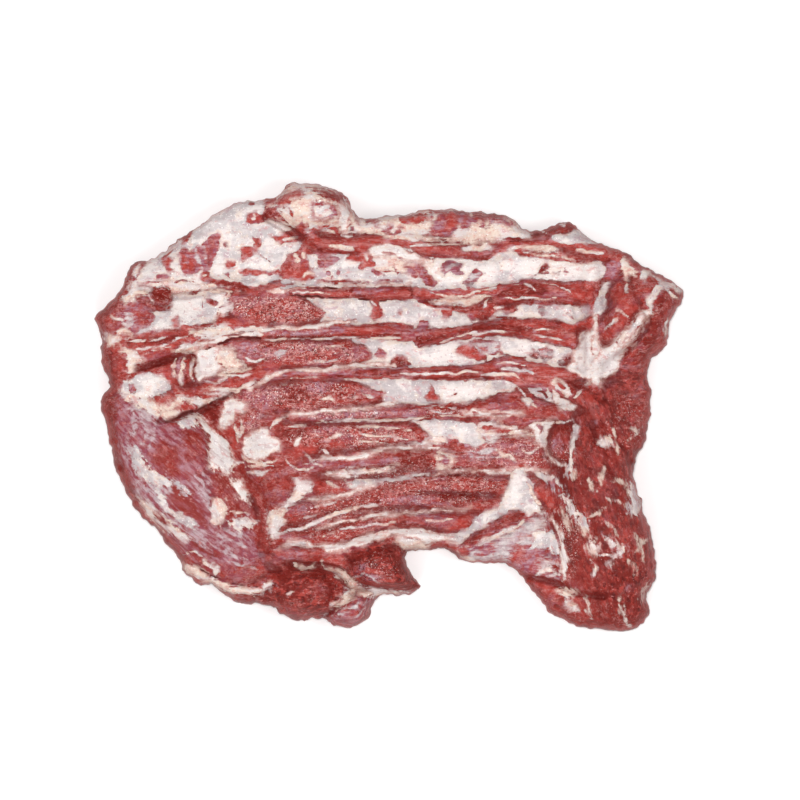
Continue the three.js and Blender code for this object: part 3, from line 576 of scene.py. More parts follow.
dark - 1 16,1 50,1 90,1 118,3 112,-4 100,-10 96,-16 70,-16 44,-16 40,-6
meat - 0.3 40,-4 60,-6 84,-6 98,-10 90,-14 60,-13 44,-12
fascia 1.8 0 58,-9 75,-12 92,-10
fat 1.1 0.2 46,-3 70,-3 96,-4
fat 1.2 0.2 70,-15 95,-14 110,-18
meat - 1.5 118,3 124,10 132,8 140,13 160,19 180,19 186,28 194,18 200,26 204,14 214,6 236,3 244,-4 247,-14
 240,-22 220,-23 200,-24 182,-28 165,-30 150,-23 130,-21 112,-18 104,-12 112,-7
membrane - 0.2 142,8 158,9 176,-2 168,-9 150,-8 140,-2
dark - 0.2 146,6 160,7 172,0 160,-2
white - 0.5 104,-8 118,-6 134,-9 160,-9 186,-8 190,-13 170,-17 140,-17 120,-16 108,-13
membrane 2 0.2 118,-12 124,-13
dark 1.4 0 140,-13 160,-13 178,-12
dark 2 0.2 130,-20 145,-20 170,-28
fat 1.6 0.4 180,28 186,18 196,8 206,-2
fascia - 0.3 186,12 194,12 200,4 194,0 188,4
fascia - 0.3 192,26 206,26 222,24 230,14 236,6 226,4 216,8 206,12 200,18
dark 1.6 0 208,20 218,18 222,10
membrane 2 0 214,24 222,20
white - 0.5 228,26 238,12 250,6 262,0 256,-8 248,-8 240,-6 236,2 228,8
fat - 0.5 128,-24 150,-22 165,-30 185,-32 200,-34 204,-42 190,-44 160,-42 150,-42 146,-50 138,-50 130,-46
 126,-36
bright - 0.3 128,-32 136,-26 150,-28 166,-34 176,-36 164,-38 146,-36 136,-38
meat 2 0.3 184,-36 194,-38 200,-34
white - 0.5 198,-26 210,-24 222,-20 236,-24 228,-28 224,-38 222,-50 221,-64 214,-58 206,-50 202,-40
membrane 2.4 0.2 206,-28 212,-34 210,-40
meat - 1.5 226,-36 232,-27 246,-24 257,-21 259,-34 257,-58 252,-76 240,-79 230,-73 222,-60 223,-46
dark - 0.2 232,-30 246,-26 256,-24 256,-40 244,-36 236,-42 228,-52 226,-42
membrane - 0 228,-48 238,-44 246,-52 240,-64 230,-62
fat 1.6 0.6 226,-28 240,-23 256,-20
white - 0.8 222,-62 222,-70 230,-80 240,-84 250,-84 250,-78 240,-80 230,-74 225,-66
fascia - 0.8 258,-22 263,-30 260,-56 256,-82 252,-98 248,-96 250,-76 254,-54
# Fourth wedge
meat - 1.5 -166,-26 -140,-24 -100,-25 -60,-24 20,-22 46,-30 54,-38 62,-43 50,-50 20,-54 0,-56 -20,-60
 -40,-67 -90,-71 -105,-70 -130,-62 -146,-54 -152,-48 -166,-40
fat 1.6 0.4 -164,-34 -160,-26 -150,-18 -140,-14
fat 1.4 0.5 -142,-31 -128,-28 -114,-27
dark - 0.3 -158,-38 -140,-34 -118,-32 -112,-42 -125,-48 -145,-50
bright - 0.3 -150,-54 -130,-56 -110,-54 -96,-58 -100,-70 -124,-72 -140,-64
bright - 0.3 -88,-56 -76,-50 -62,-47 -54,-50 -60,-58 -78,-63
white - 0.3 -88,-50 -78,-42 -68,-37 -62,-40 -70,-44
fat 1.2 0.3 -40,-38 -20,-42 0,-44 20,-46
fat 1.2 0.3 -44,-30 -20,-28 10,-32 30,-34
fat 1.2 0.3 -40,-51 -20,-52 0,-52
fat 1.2 0.2 6,-40 16,-46 26,-50
white 3 0.5 -121,-44 -126,-49 -132,-56
fat 2.2 0.5 -95,-66 -88,-64 -82,-68
white - 1 -98,-75 -92,-71 -60,-70 -30,-65 -10,-60 10,-57 40,-56 74,-56 74,-60 40,-61 10,-62 -10,-66 -36,-74
 -60,-77
fat 2 0.6 -118,-66 -112,-70 -106,-76 -98,-76
fat - 0 58,-44 66,-42 76,-44 78,-54 66,-52 54,-50
membrane - 0 108,-64 118,-62 134,-60 148,-62 150,-68 134,-70 118,-70
film - 0 110,-64 134,-60 148,-64 130,-70
membrane 3 0 106,-54 112,-58
fat 1.8 0.3 150,-60 158,-68 166,-74
fat 1.4 0.3 150,-74 166,-70 180,-76
fat - 0 66,-68 74,-62 88,-66 92,-78 84,-88 70,-92 66,-80
membrane - 0 74,-68 84,-70 86,-80 78,-84 72,-78
fat 1.4 0.2 186,-60 198,-66 210,-60
dark - 0.3 60,-66 40,-66 10,-70 -20,-76 -60,-80 -110,-78 -130,-82 -110,-86 -60,-88 -20,-86 20,-84 60,-82
membrane - 0.2 -110,-78 -60,-79 -20,-77 10,-74 10,-82 -20,-84 -60,-86 -106,-84
white - 1 62,-99 72,-92 80,-89 110,-89 140,-90 168,-90 180,-85 202,-86 224,-92 224,-95 204,-91 184,-90
 170,-95 140,-96 110,-94 84,-94 76,-97
slot 1.1 -1 82,-97 105,-97
dark 1.6 0.3 84,-87 110,-86 140,-86 164,-87
# Lower strips
meat - 0.5 -190,-92 -168,-92 -150,-84 -140,-76 -132,-90 -120,-92 -104,-88 -92,-90 -96,-98 -116,-99 -140,-98
 -156,-100 -180,-102
fat 1.5 0.5 -190,-86 -170,-80 -154,-74
fat 1.5 0.5 -188,-94 -172,-92 -160,-86
fat 1.5 0.5 -182,-99 -168,-93
fat 1.8 0.6 -142,-76 -136,-84 -128,-89 -112,-89 -102,-85
fat 1.2 0.4 -118,-84 -104,-80 -94,-84
fat - 0.5 -58,-90 -40,-89 -20,-88 14,-83 14,-87 -8,-92 -30,-96 -46,-102 -56,-100
white - 0.3 -90,-96 -80,-92 -62,-91 -52,-97 -54,-103 -66,-102 -80,-98
fascia - 0.4 -58,-107 -40,-103 -20,-101 0,-101 20,-99 56,-95 56,-98 20,-103 0,-107 -20,-111 -40,-118
 -56,-116
bright - 0.3 -106,-102 -92,-101 -80,-103 -66,-108 -58,-116 -66,-123 -82,-125 -98,-121 -106,-112
fat 1.6 0.2 -86,-106 -78,-112 -70,-114
dark - 0.2 -60,-116 -40,-120 -20,-114 0,-109 0,-112 -24,-120 -44,-124 -60,-122
dark - 0.2 -20,-98 0,-96 14,-97 10,-101 -14,-102
white - 1 -112,-131 -104,-128 -90,-128 -76,-125 -60,-120 -45,-116 -20,-110 -20,-113 -44,-122 -60,-126
 -80,-132 -100,-133
fat 2.4 0.8 -120,-171 -104,-166 -90,-159 -70,-152 -55,-146 -40,-141 -15,-139
white - 0.6 -98,-173 -80,-166 -60,-160 -40,-156 -20,-151 20,-148 50,-146 100,-145 114,-142 112,-148 100,-149
 50,-150 20,-152 -10,-156 -40,-160 -60,-165 -80,-171
fat 1.8 0.5 -158,-184 -150,-177 -130,-172 -112,-171
fat 1.2 0.4 -92,-182 -80,-177 -70,-183
fat 1.1 0.4 -70,-172 -50,-170 -30,-168 -10,-165 10,-162
fat 1.1 0.4 -130,-160 -112,-156 -98,-152
fat 1.1 0.4 -110,-142 -90,-138 -70,-134
membrane - 0 -10,-128 10,-126 40,-127 80,-130 84,-138 50,-142 10,-140 -10,-136
dark - 0.2 60,-122 90,-122 126,-124 130,-132 100,-138 70,-134
membrane - 0 -130,-142 -112,-136 -104,-142 -118,-150 -134,-152
bright - 0.3 -138,-158 -120,-154 -110,-158 -118,-166 -134,-168
dark - 0.2 0,-163 20,-160 40,-163 70,-174 60,-176 36,-168 10,-170 -6,-172
bright - 0.3 98,-150 108,-146 116,-142 116,-156 110,-170 98,-179 80,-181 70,-178 84,-172 96,-164
membrane - 0 30,-152 60,-150 90,-152 84,-162 50,-160 30,-158
fat 1.1 0.3 50,-158 70,-162 90,-158
bright - 0.3 -100,-180 -80,-184 -60,-182 -40,-178 -50,-172 -74,-174
white - 0.8 -162,-201 -148,-198 -138,-190 -126,-188 -112,-189 -104,-195 -96,-194 -88,-190 -80,-194 -60,-190
 -30,-180 0,-172 30,-172 50,-174 70,-179 95,-183 112,-180 100,-190 94,-196 84,-191 70,-189 54,-194 30,-186
 10,-182 -8,-184 -30,-193 -50,-199 -74,-204 -88,-207 -94,-200 -104,-201 -124,-197 -144,-199
fascia - 0.2 -144,-195 -130,-190 -116,-191 -112,-197 -126,-199
fat - 0.5 8,-180 30,-184 54,-193 60,-192 56,-200 50,-204 30,-206 18,-203 14,-194
bright - 0.5 54,-193 70,-189 84,-190 92,-194 100,-199 108,-205 110,-214 98,-212 92,-202 84,-197 72,-196
 60,-198
fat - 0.8 -130,-103 -106,-105 -103,-112 -110,-122 -120,-128 -134,-138 -142,-148 -147,-164 -154,-180
 -161,-187 -166,-176 -168,-158 -161,-148 -149,-144 -141,-134 -133,-122
film - 0 -166,-150 -150,-146 -150,-166 -158,-184 -166,-172
meat - 0.4 -166,-206 -150,-202 -120,-202 -96,-202 -86,-210 -92,-220 -104,-224 -128,-218 -150,-222 -164,-216
bright - 0.3 -122,-200 -98,-202 -90,-212 -98,-222 -116,-220 -126,-212
membrane - 0 -146,-204 -130,-202 -122,-208 -132,-216 -146,-214
bright - 0.3 -90,-208 -76,-204 -64,-206 -58,-212 -64,-222 -78,-228 -90,-224
fat 1.6 0.5 -92,-216 -88,-226 -78,-230 -66,-228
# Lower right: pale triangle, tendon, neck
fascia - 0.5 169,-99 178,-88 190,-86 197,-100 201,-113 205,-130 212,-148 222,-164 204,-158 192,-150 190,-147
 172,-147 160,-152 144,-162 128,-173 112,-181 98,-192 90,-190 80,-187 78,-181 98,-177 114,-168 120,-156
 134,-149 150,-146 160,-134 166,-118
cloud - 0 150,-146 164,-134 168,-110 184,-96 190,-110 180,-136
membrane - 0.3 98,-196 130,-186 160,-172 192,-157 205,-150 222,-165 238,-180 243,-215 246,-240 234,-246
 212,-238 190,-236 176,-226 165,-221 130,-220 104,-214 96,-204
film - 0 142,-188 168,-176 196,-160 206,-152 222,-166 224,-174 206,-178 200,-190 184,-197 170,-204 164,-219
 144,-219 148,-204
film - 0 100,-212 124,-218 142,-219 146,-206 134,-196 118,-200
fat 3 0.8 98,-197 112,-194 140,-186 168,-175 190,-162
fat 2.2 0.4 96,-204 108,-212 124,-217
bright - 0.3 97,-197 108,-198 112,-206 104,-213 96,-206
membrane 4 0 120,-210 130,-206 140,-200
bright - 0.2 168,-216 172,-204 186,-196 196,-194 190,-204 184,-214 176,-222
fascia - 0.5 203,-178 224,-172 236,-180 240,-200 243,-216 238,-208 226,-201 206,-200 193,-201 204,-192
film - 0 206,-214 222,-212 236,-220 242,-232 232,-240 214,-234
fascia 4 0.3 208,-236 222,-230 234,-232
dark - 0 229,-222 236,-220 242,-228 236,-236 229,-231
dark - 1 99,-192 110,-186 130,-174 150,-160 170,-147 190,-147 193,-154 180,-165 160,-173 140,-183 120,-193
 104,-195
meat - 0.4 112,-186 134,-174 152,-162 172,-150 184,-152 160,-166 134,-180
bright - 0.8 201,-112 215,-111 222,-119 232,-136 238,-142 225,-144 216,-140 207,-128
fat 1.8 0.6 192,-106 202,-126 214,-146 224,-158
meat - 0.3 212,-142 222,-146 224,-158 216,-156
white 3.2 0.8 229,-146 226,-158 238,-172 243,-195 247,-225 242,-246
fascia - 0.6 200,-90 216,-92 232,-100 244,-114 250,-130 262,-146 274,-158 276,-168 268,-168 256,-156
 246,-142 240,-126 232,-116 222,-106 208,-100
membrane - 0.2 221,-103 230,-104 238,-114 243,-124 236,-122 226,-112
bright - 0.3 196,-99 205,-102 208,-110 200,-110
film 5 0 256,-150 268,-164 274,-180 284,-192
film 4 0 238,-142 248,-158 256,-176
fat - 0.8 272,-190 280,-186 290,-188 294,-198 292,-208 284,-206 274,-200
white - 0.3 278,-190 288,-190 290,-200 282,-202
fat - 0.8 296,-180 306,-185 316,-192 328,-197 331,-204 322,-210 316,-214 310,-224 306,-220 312,-208 320,-202
 308,-194
fat 2.4 0.8 282,-214 288,-222 286,-238
fat 1.6 0.5 286,-206 300,-208 312,-214
dark - 0.5 316,-210 335,-216 346,-232 350,-250 330,-264 322,-262 355,-272 368,-290 345,-313 280,-314
 285,-275 290,-262 300,-250 304,-228
dark 9 0 330,-240 300,-270 310,-300
film 3 0.8 345,-180 350,-200 352,-215
film 2 0.6 366,-184 352,-192 342,-206
film 3 0.6 333,-215 341,-225 345,-236
film 5 0.8 364,-252 356,-262 358,-276
film 2.6 1 322,-268 326,-285 334,-303 342,-312
membrane 4 0 332,-252 342,-256
fat - 1 240,-254 262,-257 268,-260 255,-263 252,-275 262,-281 266,-286 254,-285 247,-268 239,-260
bright - 0.8 254,-264 272,-262 276,-270 270,-279 256,-275
film 2.4 0.6 275,-262 278,-280 284,-296
dark 10 0.5 196,-250 214,-276 245,-300 270,-308
bright 5 0.3 205,-246 225,-256 234,-262
membrane 5 0.3 280,-27 286,-26
white 1.8 0.5 320,-16 328,-20
dark 5 0.3 305,-20 318,-24 330,-12
fat - 0.8 299,-46 310,-41 311,-56 300,-57 288,-53
film 1.6 0.5 313,-33 316,-55 322,-70
film 2 0.5 334,-50 344,-40 354,-28
film 2.6 0.5 338,-31 348,-36
film 2.4 0.8 303,-82 298,-95 293,-112
film 2.6 0.8 310,-103 325,-105 332,-118 338,-136 335,-156
fascia - 0.5 333,-104 346,-112 352,-135 351,-146 342,-152 334,-150 335,-125
film 3 0.6 252,-88 257,-95 255,-102
film 1.8 0.6 279,-102 282,-115 290,-120
film 1.8 0.6 302,-130 318,-133 330,-142
film 2 0.6 300,-142 285,-150 276,-156
dark - 0.4 295,-135 310,-131 330,-146 332,-166 318,-161 300,-150
dark - 0.4 306,-76 342,-80 342,-104 322,-100 308,-106 303,-92
membrane 5 0.2 302,-156 310,-166
film 1.6 0.5 300,-160 314,-172 320,-184
# Shoulder
veil - 0 -378,4 -345,6 -318,-14 -298,-26 -262,-34 -252,-60 -246,-100 -236,-130 -222,-160 -190,-178 -176,-214
 -230,-226 -285,-200 -330,-155 -362,-104 -376,-50
dark - 0 -402,20 -388,22 -376,4 -378,-30 -370,-70 -356,-104 -344,-128 -352,-150 -372,-120 -390,-70 -400,-10
meat - 0.4 -328,-66 -322,-54 -312,-49 -300,-52 -288,-58 -284,-76 -288,-94 -298,-101 -312,-94 -324,-82
meat - 0.4 -290,-38 -280,-32 -264,-36 -254,-48 -250,-66 -251,-88 -262,-96 -278,-99 -284,-88 -282,-60
meat - 0.4 -309,-124 -300,-110 -292,-104 -284,-112 -270,-126 -258,-146 -246,-170 -262,-164 -282,-156
 -298,-142
veil - 0 -284,-70 -272,-78 -256,-84 -254,-96 -275,-98
film 5 0 -344,6 -340,-14 -332,-34 -336,-52
film 3.5 0 -356,-4 -352,-26 -356,-44
film 3 0 -322,-22 -326,-40 -330,-56
fascia - 0.2 -356,-60 -348,-58 -342,-74 -330,-86 -318,-96 -300,-100 -292,-106 -298,-112 -314,-112 -330,-106
 -342,-98 -352,-90 -356,-78
film 6 0 -362,-52 -352,-76 -338,-98 -318,-112 -300,-116
film 4 0 -336,-112 -322,-126 -312,-142
film 3 0 -352,-104 -342,-124 -328,-140
fascia - 0.2 -324,-118 -318,-116 -308,-136 -294,-150 -272,-160 -262,-168 -274,-170 -292,-160 -310,-146
film 7 0 -326,-116 -312,-140 -292,-158 -264,-172
fat - 0.2 -348,-128 -334,-136 -318,-152 -300,-164 -284,-176 -272,-186 -282,-190 -300,-180 -318,-168
 -336,-152
dark - 0 -324,-148 -312,-156 -302,-164 -310,-168 -322,-158
fascia - 0.2 -290,-112 -280,-112 -272,-118 -268,-124 -278,-126 -288,-120
film 2.4 0 -282,-104 -266,-112 -252,-126 -244,-142
film 2.4 0 -270,-98 -256,-108 -246,-122
film 2.4 0 -258,-94 -248,-104 -242,-116
film 2 0 -262,-122 -250,-140 -240,-156
film 6 0 -288,-168 -266,-182 -246,-196
film 3 0 -262,-172 -240,-184 -218,-200
film 2.4 0 -240,-166 -215,-178 -192,-186
film 2 0 -240,-178 -216,-188 -194,-198
film 2.4 0 -244,-192 -222,-206 -196,-214
film 2 0 -226,-216 -204,-224 -182,-228
dark - 0 -276,-184 -262,-190 -250,-200 -236,-206 -240,-212 -256,-206 -272,-196
meat - 0 -288,-204 -276,-202 -262,-208 -244,-216 -256,-222 -276,-218
fat 2 0.2 -284,-208 -270,-204 -256,-212
fat 3 0.4 -258,-214 -252,-222 -244,-220
fat 3.5 0.4 -248,-222 -240,-228 -242,-234
fat - 0.8 -246,-128 -236,-126 -226,-134 -222,-146 -226,-160 -234,-168 -242,-164 -247,-148
meat - 0.3 -226,-142 -214,-140 -198,-144 -186,-148 -184,-156 -200,-154 -216,-158
fat 1.6 0.3 -218,-148 -204,-150 -192,-152
fascia - 0.4 -222,-162 -208,-158 -192,-160 -182,-162 -188,-170 -204,-172 -216,-170
fat - 1.5 -289,-220 -276,-222 -262,-228 -250,-236 -235,-246 -215,-252 -190,-254 -176,-254 -164,-246
 -160,-250 -170,-260 -190,-264 -214,-264 -240,-256 -262,-244 -282,-234
slot 0.8 -1 -262,-227 -240,-240 -215,-249 -190,-252 -174,-250
meat - 0.8 -222,-98 -214,-86 -208,-82 -202,-90 -194,-99 -202,-103 -215,-102
fat 1.4 0.5 -220,-90 -212,-80 -200,-78
white - 1 -218,-105 -203,-103 -198,-118 -191,-139 -200,-134 -212,-122
fat 1.6 0.4 -198,-86 -180,-82 -160,-84
fat 1.6 0.4 -196,-94 -178,-94 -160,-90
dark - -0.5 -180,-142 -174,-140 -171,-165 -170,-190 -160,-212 -164,-218 -176,-204 -178,-170
meat - 0.3 -120,-198 -96,-198 -92,-214 -104,-222 -122,-216
fat 3 1 -132,-222 -117,-228 -104,-228
# Coarse lump, flap and fold at the lower edge
dark - 1 -165,-234 -150,-224 -132,-226 -120,-232 -104,-232 -100,-226 -88,-230 -76,-238 -62,-252 -50,-266
 -56,-280 -72,-284 -90,-292 -96,-300 -125,-304 -152,-296 -158,-284 -186,-280 -215,-276 -206,-267 -178,-264
 -160,-252
meat - 0.3 -118,-246 -102,-242 -88,-250 -84,-260 -98,-264 -110,-258
meat - 0.3 -146,-280 -128,-274 -108,-280 -104,-290 -120,-298 -140,-294
dark 3 -0.5 -132,-262 -112,-270 -90,-274 -74,-266
fat 2.4 0.8 -130,-221 -122,-226 -108,-228 -102,-222
fat 1.4 0.5 -142,-264 -134,-258 -130,-258
dark - 1 -62,-206 -50,-204 -20,-194 -8,-190 4,-188 12,-196 18,-202 24,-206 28,-220 28,-236 34,-246 43,-254
 38,-262 -10,-258 -30,-254 -46,-246 -50,-232 -48,-222 -56,-214
membrane - 0.3 -48,-244 -46,-228 -38,-218 -30,-222 -24,-232 -14,-240 -10,-250 -24,-252 -38,-250
film 1.6 0 -46,-240 -34,-234 -22,-240 -12,-248
dark - 0.2 -36,-200 -20,-196 -8,-200 -12,-212 -28,-210
bright - 0.3 -2,-189 6,-187 14,-197 22,-204 12,-206 2,-200
bright 3 0.3 30,-252 40,-257
fat - 1 -88,-224 -78,-229 -62,-231 -50,-240 -44,-250 -52,-254 -64,-244 -76,-234
fat - 0.8 -60,-252 -48,-250 -30,-254 -10,-257 20,-260 36,-261 38,-265 0,-266 -30,-268 -40,-262 -52,-258
membrane - 0.5 -92,-294 -76,-283 -60,-280 -50,-270 -46,-262 -32,-266 -15,-267 -18,-282 -32,-300 -48,-313
 -70,-312 -80,-306
veil - 0 -80,-296 -50,-290 -30,-276 -20,-270 -24,-290 -46,-308 -70,-308
fat - 1 -91,-293 -76,-284 -62,-281 -52,-272 -47,-262 -56,-256 -64,-266 -68,-276 -80,-282
meat 3 0.3 -70,-298 -54,-294 -42,-286 -36,-274
film 1.6 0.6 -78,-292 -62,-290 -48,-282 -41,-268
film 1.3 0.6 -56,-302 -44,-294 -34,-282 -28,-268
film 1 0.5 -38,-300 -28,-288 -20,-272
dark 4 0.3 -84,-302 -64,-309 -44,-308 -28,-292 -18,-274
"""

# Fleck-rich stretches: centre, half lengths, turn, share of pale flecks
FLECKED = (
    ((-115, 101), (80, 9), 2, 1.0),
    ((-60, -13), (85, 9), 1, 1.0),
    ((60, -10), (60, 9), 0, 0.7),
    ((-110, 158), (60, 8), 0, 0.8),
    ((-150, 135), (90, 30), -2, 0.8),
    ((-120, 73), (110, 26), -2, 0.7),
    ((-110, 14), (110, 28), 1, 0.7),
    ((-50, -44), (125, 24), 1, 0.7),
    ((40, -110), (160, 45), 0, 0.6),
    ((-60, -150), (110, 50), 12, 0.5),
    ((190, 160), (110, 20), 0, 0.5),
    ((180, -66), (110, 30), 0, 0.5),
    ((225, 68), (34, 16), 0, 0.8),
    ((250, -195), (22, 70), 0, 0.6),
    ((-195, -8), (26, 40), 0, 0.6),
    ((255, 25), (50, 40), 0, 0.5),
    ((330, -20), (40, 60), 0, 0.35),
    ((-10, -225), (40, 30), 0, 0.4),
)

# Where the muscle is painted darkest, partly its own deep red and partly painted shade: centre, half
# lengths, turn, share
DEEP = (
    ((310, -130), (215, 95), -84, 0.75),
    ((350, -250), (90, 60), 0, 1.0),
    ((310, 20), (80, 60), 0, 0.8),
    ((-115, -262), (90, 60), 0, 1.0),
    ((-5, -228), (80, 60), 0, 1.0),
    ((-30, -150), (150, 80), 0, 0.4),
)

# Grain direction: name, centre, half lengths and turn of the stretch, angle of its fibres
GRAINS = (
    ("grain_shoulder", (-290, -110), (190, 130), -52, -42),
    ("grain_neck", (300, -140), (220, 110), -84, -72),
)


def parse(path):
    """Points of a path written as x,y pairs."""
    return np.array([[float(v) for v in pair.split(",")] for pair in path.split()])


def drawn_layers():
    """Tissue, half width (None for a patch), rise and points of each drawn layer."""
    for row in LAYERS.replace("\n ", " ").splitlines():
        if row and not row.startswith("#"):
            tissue, half, rise, path = row.split(maxsplit=3)
            yield tissue, None if half == "-" else float(half), float(rise), parse(path)


def curve(points, closed, step):
    """Evenly spaced points on a centripetal Catmull-Rom curve."""
    if closed:
        stops = np.vstack([points[-1], points, points[:2]])
    else:
        stops = np.vstack([2 * points[0] - points[1], points, 2 * points[-1] - points[-2]])
    fine = []
    shares = np.linspace(0, 1, 16, endpoint=False)
    for p0, p1, p2, p3 in zip(stops, stops[1:], stops[2:], stops[3:]):
        d0, d1, d2 = (max(math.dist(a, b) ** 0.5, 1e-4) for a, b in ((p0, p1), (p1, p2), (p2, p3)))
        m1 = ((p1 - p0) / d0 - (p2 - p0) / (d0 + d1) + (p2 - p1) / d1) * d1
        m2 = ((p2 - p1) / d1 - (p3 - p1) / (d1 + d2) + (p3 - p2) / d2) * d1
        for t in shares:
            a = 2 * p1 - 2 * p2 + m1 + m2
            b = -3 * p1 + 3 * p2 - 2 * m1 - m2
            fine.append(a * t**3 + b * t**2 + m1 * t + p1)
    fine.append(stops[-2])
    fine = np.array(fine)
    length = np.concatenate([[0], np.cumsum(np.hypot(*np.diff(fine, axis=0).T))])
    count = int(math.ceil(length[-1] / step)) + 1
    stations = np.linspace(0, length[-1], count)
    spaced = np.stack([np.interp(stations, length, fine[:, k]) for k in (0, 1)], axis=1)
    return spaced[:-1] if closed else spaced


def ease(value):
    """Smooth step from 0 to 1."""
    value = np.clip(value, 0, 1)
    return value * value * (3 - 2 * value)


def distance(x, y, line, closed):
    """Distance of each point to the nearest leg of a line."""
    nearest = np.full(x.shape, 1e9, np.float32)
    ends = np.roll(line, -1, axis=0) if closed else line[1:]
    for a, b in zip(line, ends):
        leg = b - a
        share = ((x - a[0]) * leg[0] + (y - a[1]) * leg[1]) / max(leg @ leg, 1e-6)
        share = np.clip(share, 0, 1)
        gap = (x - a[0] - share * leg[0]) ** 2 + (y - a[1] - share * leg[1]) ** 2
        nearest = np.minimum(nearest, gap)
    return np.sqrt(nearest)


def stroke(x, y, line, half):
    """Distance into a stroke of a half width that swells, shrinks and tapers to its ends."""
    nearest = np.full(x.shape, 1e9)
    station = np.zeros(x.shape)
    length = 0.0
    for a, b in zip(line, line[1:]):
        leg = b - a
        size = math.dist(a, b)
        share = np.clip(((x - a[0]) * leg[0] + (y - a[1]) * leg[1]) / max(leg @ leg, 1e-6), 0, 1)
        gap = np.hypot(x - a[0] - share * leg[0], y - a[1] - share * leg[1])
        closer = gap < nearest
        nearest = np.where(closer, gap, nearest)
        station = np.where(closer, length + share * size, station)
        length += size
    end = np.minimum(station, length - station)
    width = 0.3 + 0.7 * np.sqrt(np.clip(end / min(6 * half, 0.5 * length), 0, 1))
    width *= 1 + 0.4 * BUMPS[4](x, y, 16.0) + 0.25 * BUMPS[5](x, y, 7.0)
    return half * width - nearest


def signed_distance(x, y, loop):
    """Distance to a closed line, positive inside it."""
    inside = np.zeros(x.shape, bool)
    for a, b in zip(loop, np.roll(loop, -1, axis=0)):
        if a[1] == b[1]:
            continue
        crosses = (a[1] > y) != (b[1] > y)
        inside ^= crosses & (x < (b[0] - a[0]) * (y - a[1]) / (b[1] - a[1]) + a[0])
    gap = distance(x, y, loop, True)
    return np.where(inside, gap, -gap)


class Grid:
    """Values on an even grid, read between its points."""

    def __init__(self, low, step, values):
        self.low = low
        self.step = step
        self.values = values

    def __call__(self, x, y):
        rows, columns = self.values.shape
        u = np.clip((x - self.low[0]) / self.step, 0, columns - 1.001)
        v = np.clip((y - self.low[1]) / self.step, 0, rows - 1.001)
        i = u.astype(int)
        j = v.astype(int)
        u = u - i
        v = v - j
        value = self.values
        lower = value[j, i] * (1 - u) + value[j, i + 1] * u
        upper = value[j + 1, i] * (1 - u) + value[j + 1, i + 1] * u
        return lower * (1 - v) + upper * v


def blur(values, reach):
    """Evens out values on a grid over a reach of cells, three times over."""
    width = 2 * reach + 1
    for axis in (0, 1) * 3:
        pad = [(0, 0), (0, 0)]
        pad[axis] = (reach + 1, reach)
        total = np.cumsum(np.pad(values, pad, mode="edge"), axis=axis)
        high = np.take(total, range(width, total.shape[axis]), axis=axis)
        low = np.take(total, range(0, total.shape[axis] - width), axis=axis)
        values = (high - low) / width
    return values


class Lattice:
    """Smooth random bumps between -1 and 1, of one size in millimetres."""

    def __init__(self, seed):
        self.values = np.random.RandomState(seed).uniform(-1, 1, (128, 128)).astype(np.float32)

    def __call__(self, x, y, size, size_y=None, turn=0.0):
        angle = math.radians(turn)
        along = (x * math.cos(angle) + y * math.sin(angle)) / size + 517.3
        across = (y * math.cos(angle) - x * math.sin(angle)) / (size_y or size) + 291.7
        i = np.floor(along).astype(int)
        j = np.floor(across).astype(int)
        u = ease(along - i)
        v = ease(across - j)
        value = self.values
        a = value[i % 128, j % 128] * (1 - u) + value[(i + 1) % 128, j % 128] * u
        b = value[i % 128, (j + 1) % 128] * (1 - u) + value[(i + 1) % 128, (j + 1) % 128] * u
        return a * (1 - v) + b * v


BUMPS = [Lattice(SEED + k) for k in range(6)]
EDGE = curve(parse(OUTLINE), True, 9.0)
SHIFT = -(EDGE.max(axis=0) + EDGE.min(axis=0)) / 2


def mass(x, y, centre, half, turn, soft):
    """Share of a mass's rise over each point."""
    angle = math.radians(turn)
    dx = x - centre[0]
    dy = y - centre[1]
    along = (dx * math.cos(angle) + dy * math.sin(angle)) / half[0]
    across = (dy * math.cos(angle) - dx * math.sin(angle)) / half[1]
    return ease((1 - np.hypot(along, across)) / soft)


def near(x, y, line, reach):
    """Which points lie within reach of a line's box."""
    low = line.min(axis=0) - reach
    high = line.max(axis=0) + reach
    return (x > low[0]) & (x < high[0]) & (y > low[1]) & (y < high[1])


def thickness(x, y):
    """Thickness of the meat over each point, from the named forms."""
    height = np.full(x.shape, PLATE_THICKNESS)
    for centre, half, turn, rise, soft in MASSES:
        height += rise * mass(x, y, centre, half, turn, soft)
    for sign, forms in ((1, STRIPS), (-1, SEAMS)):
        for half, rise, path in forms:
            line = curve(parse(path), False, 8.0)
            close = near(x, y, line, half)
            gap = distance(x[close], y[close], line, False)
            height[close] += sign * rise * np.clip(1 - (gap / half) ** 2, 0, 1)
    return height


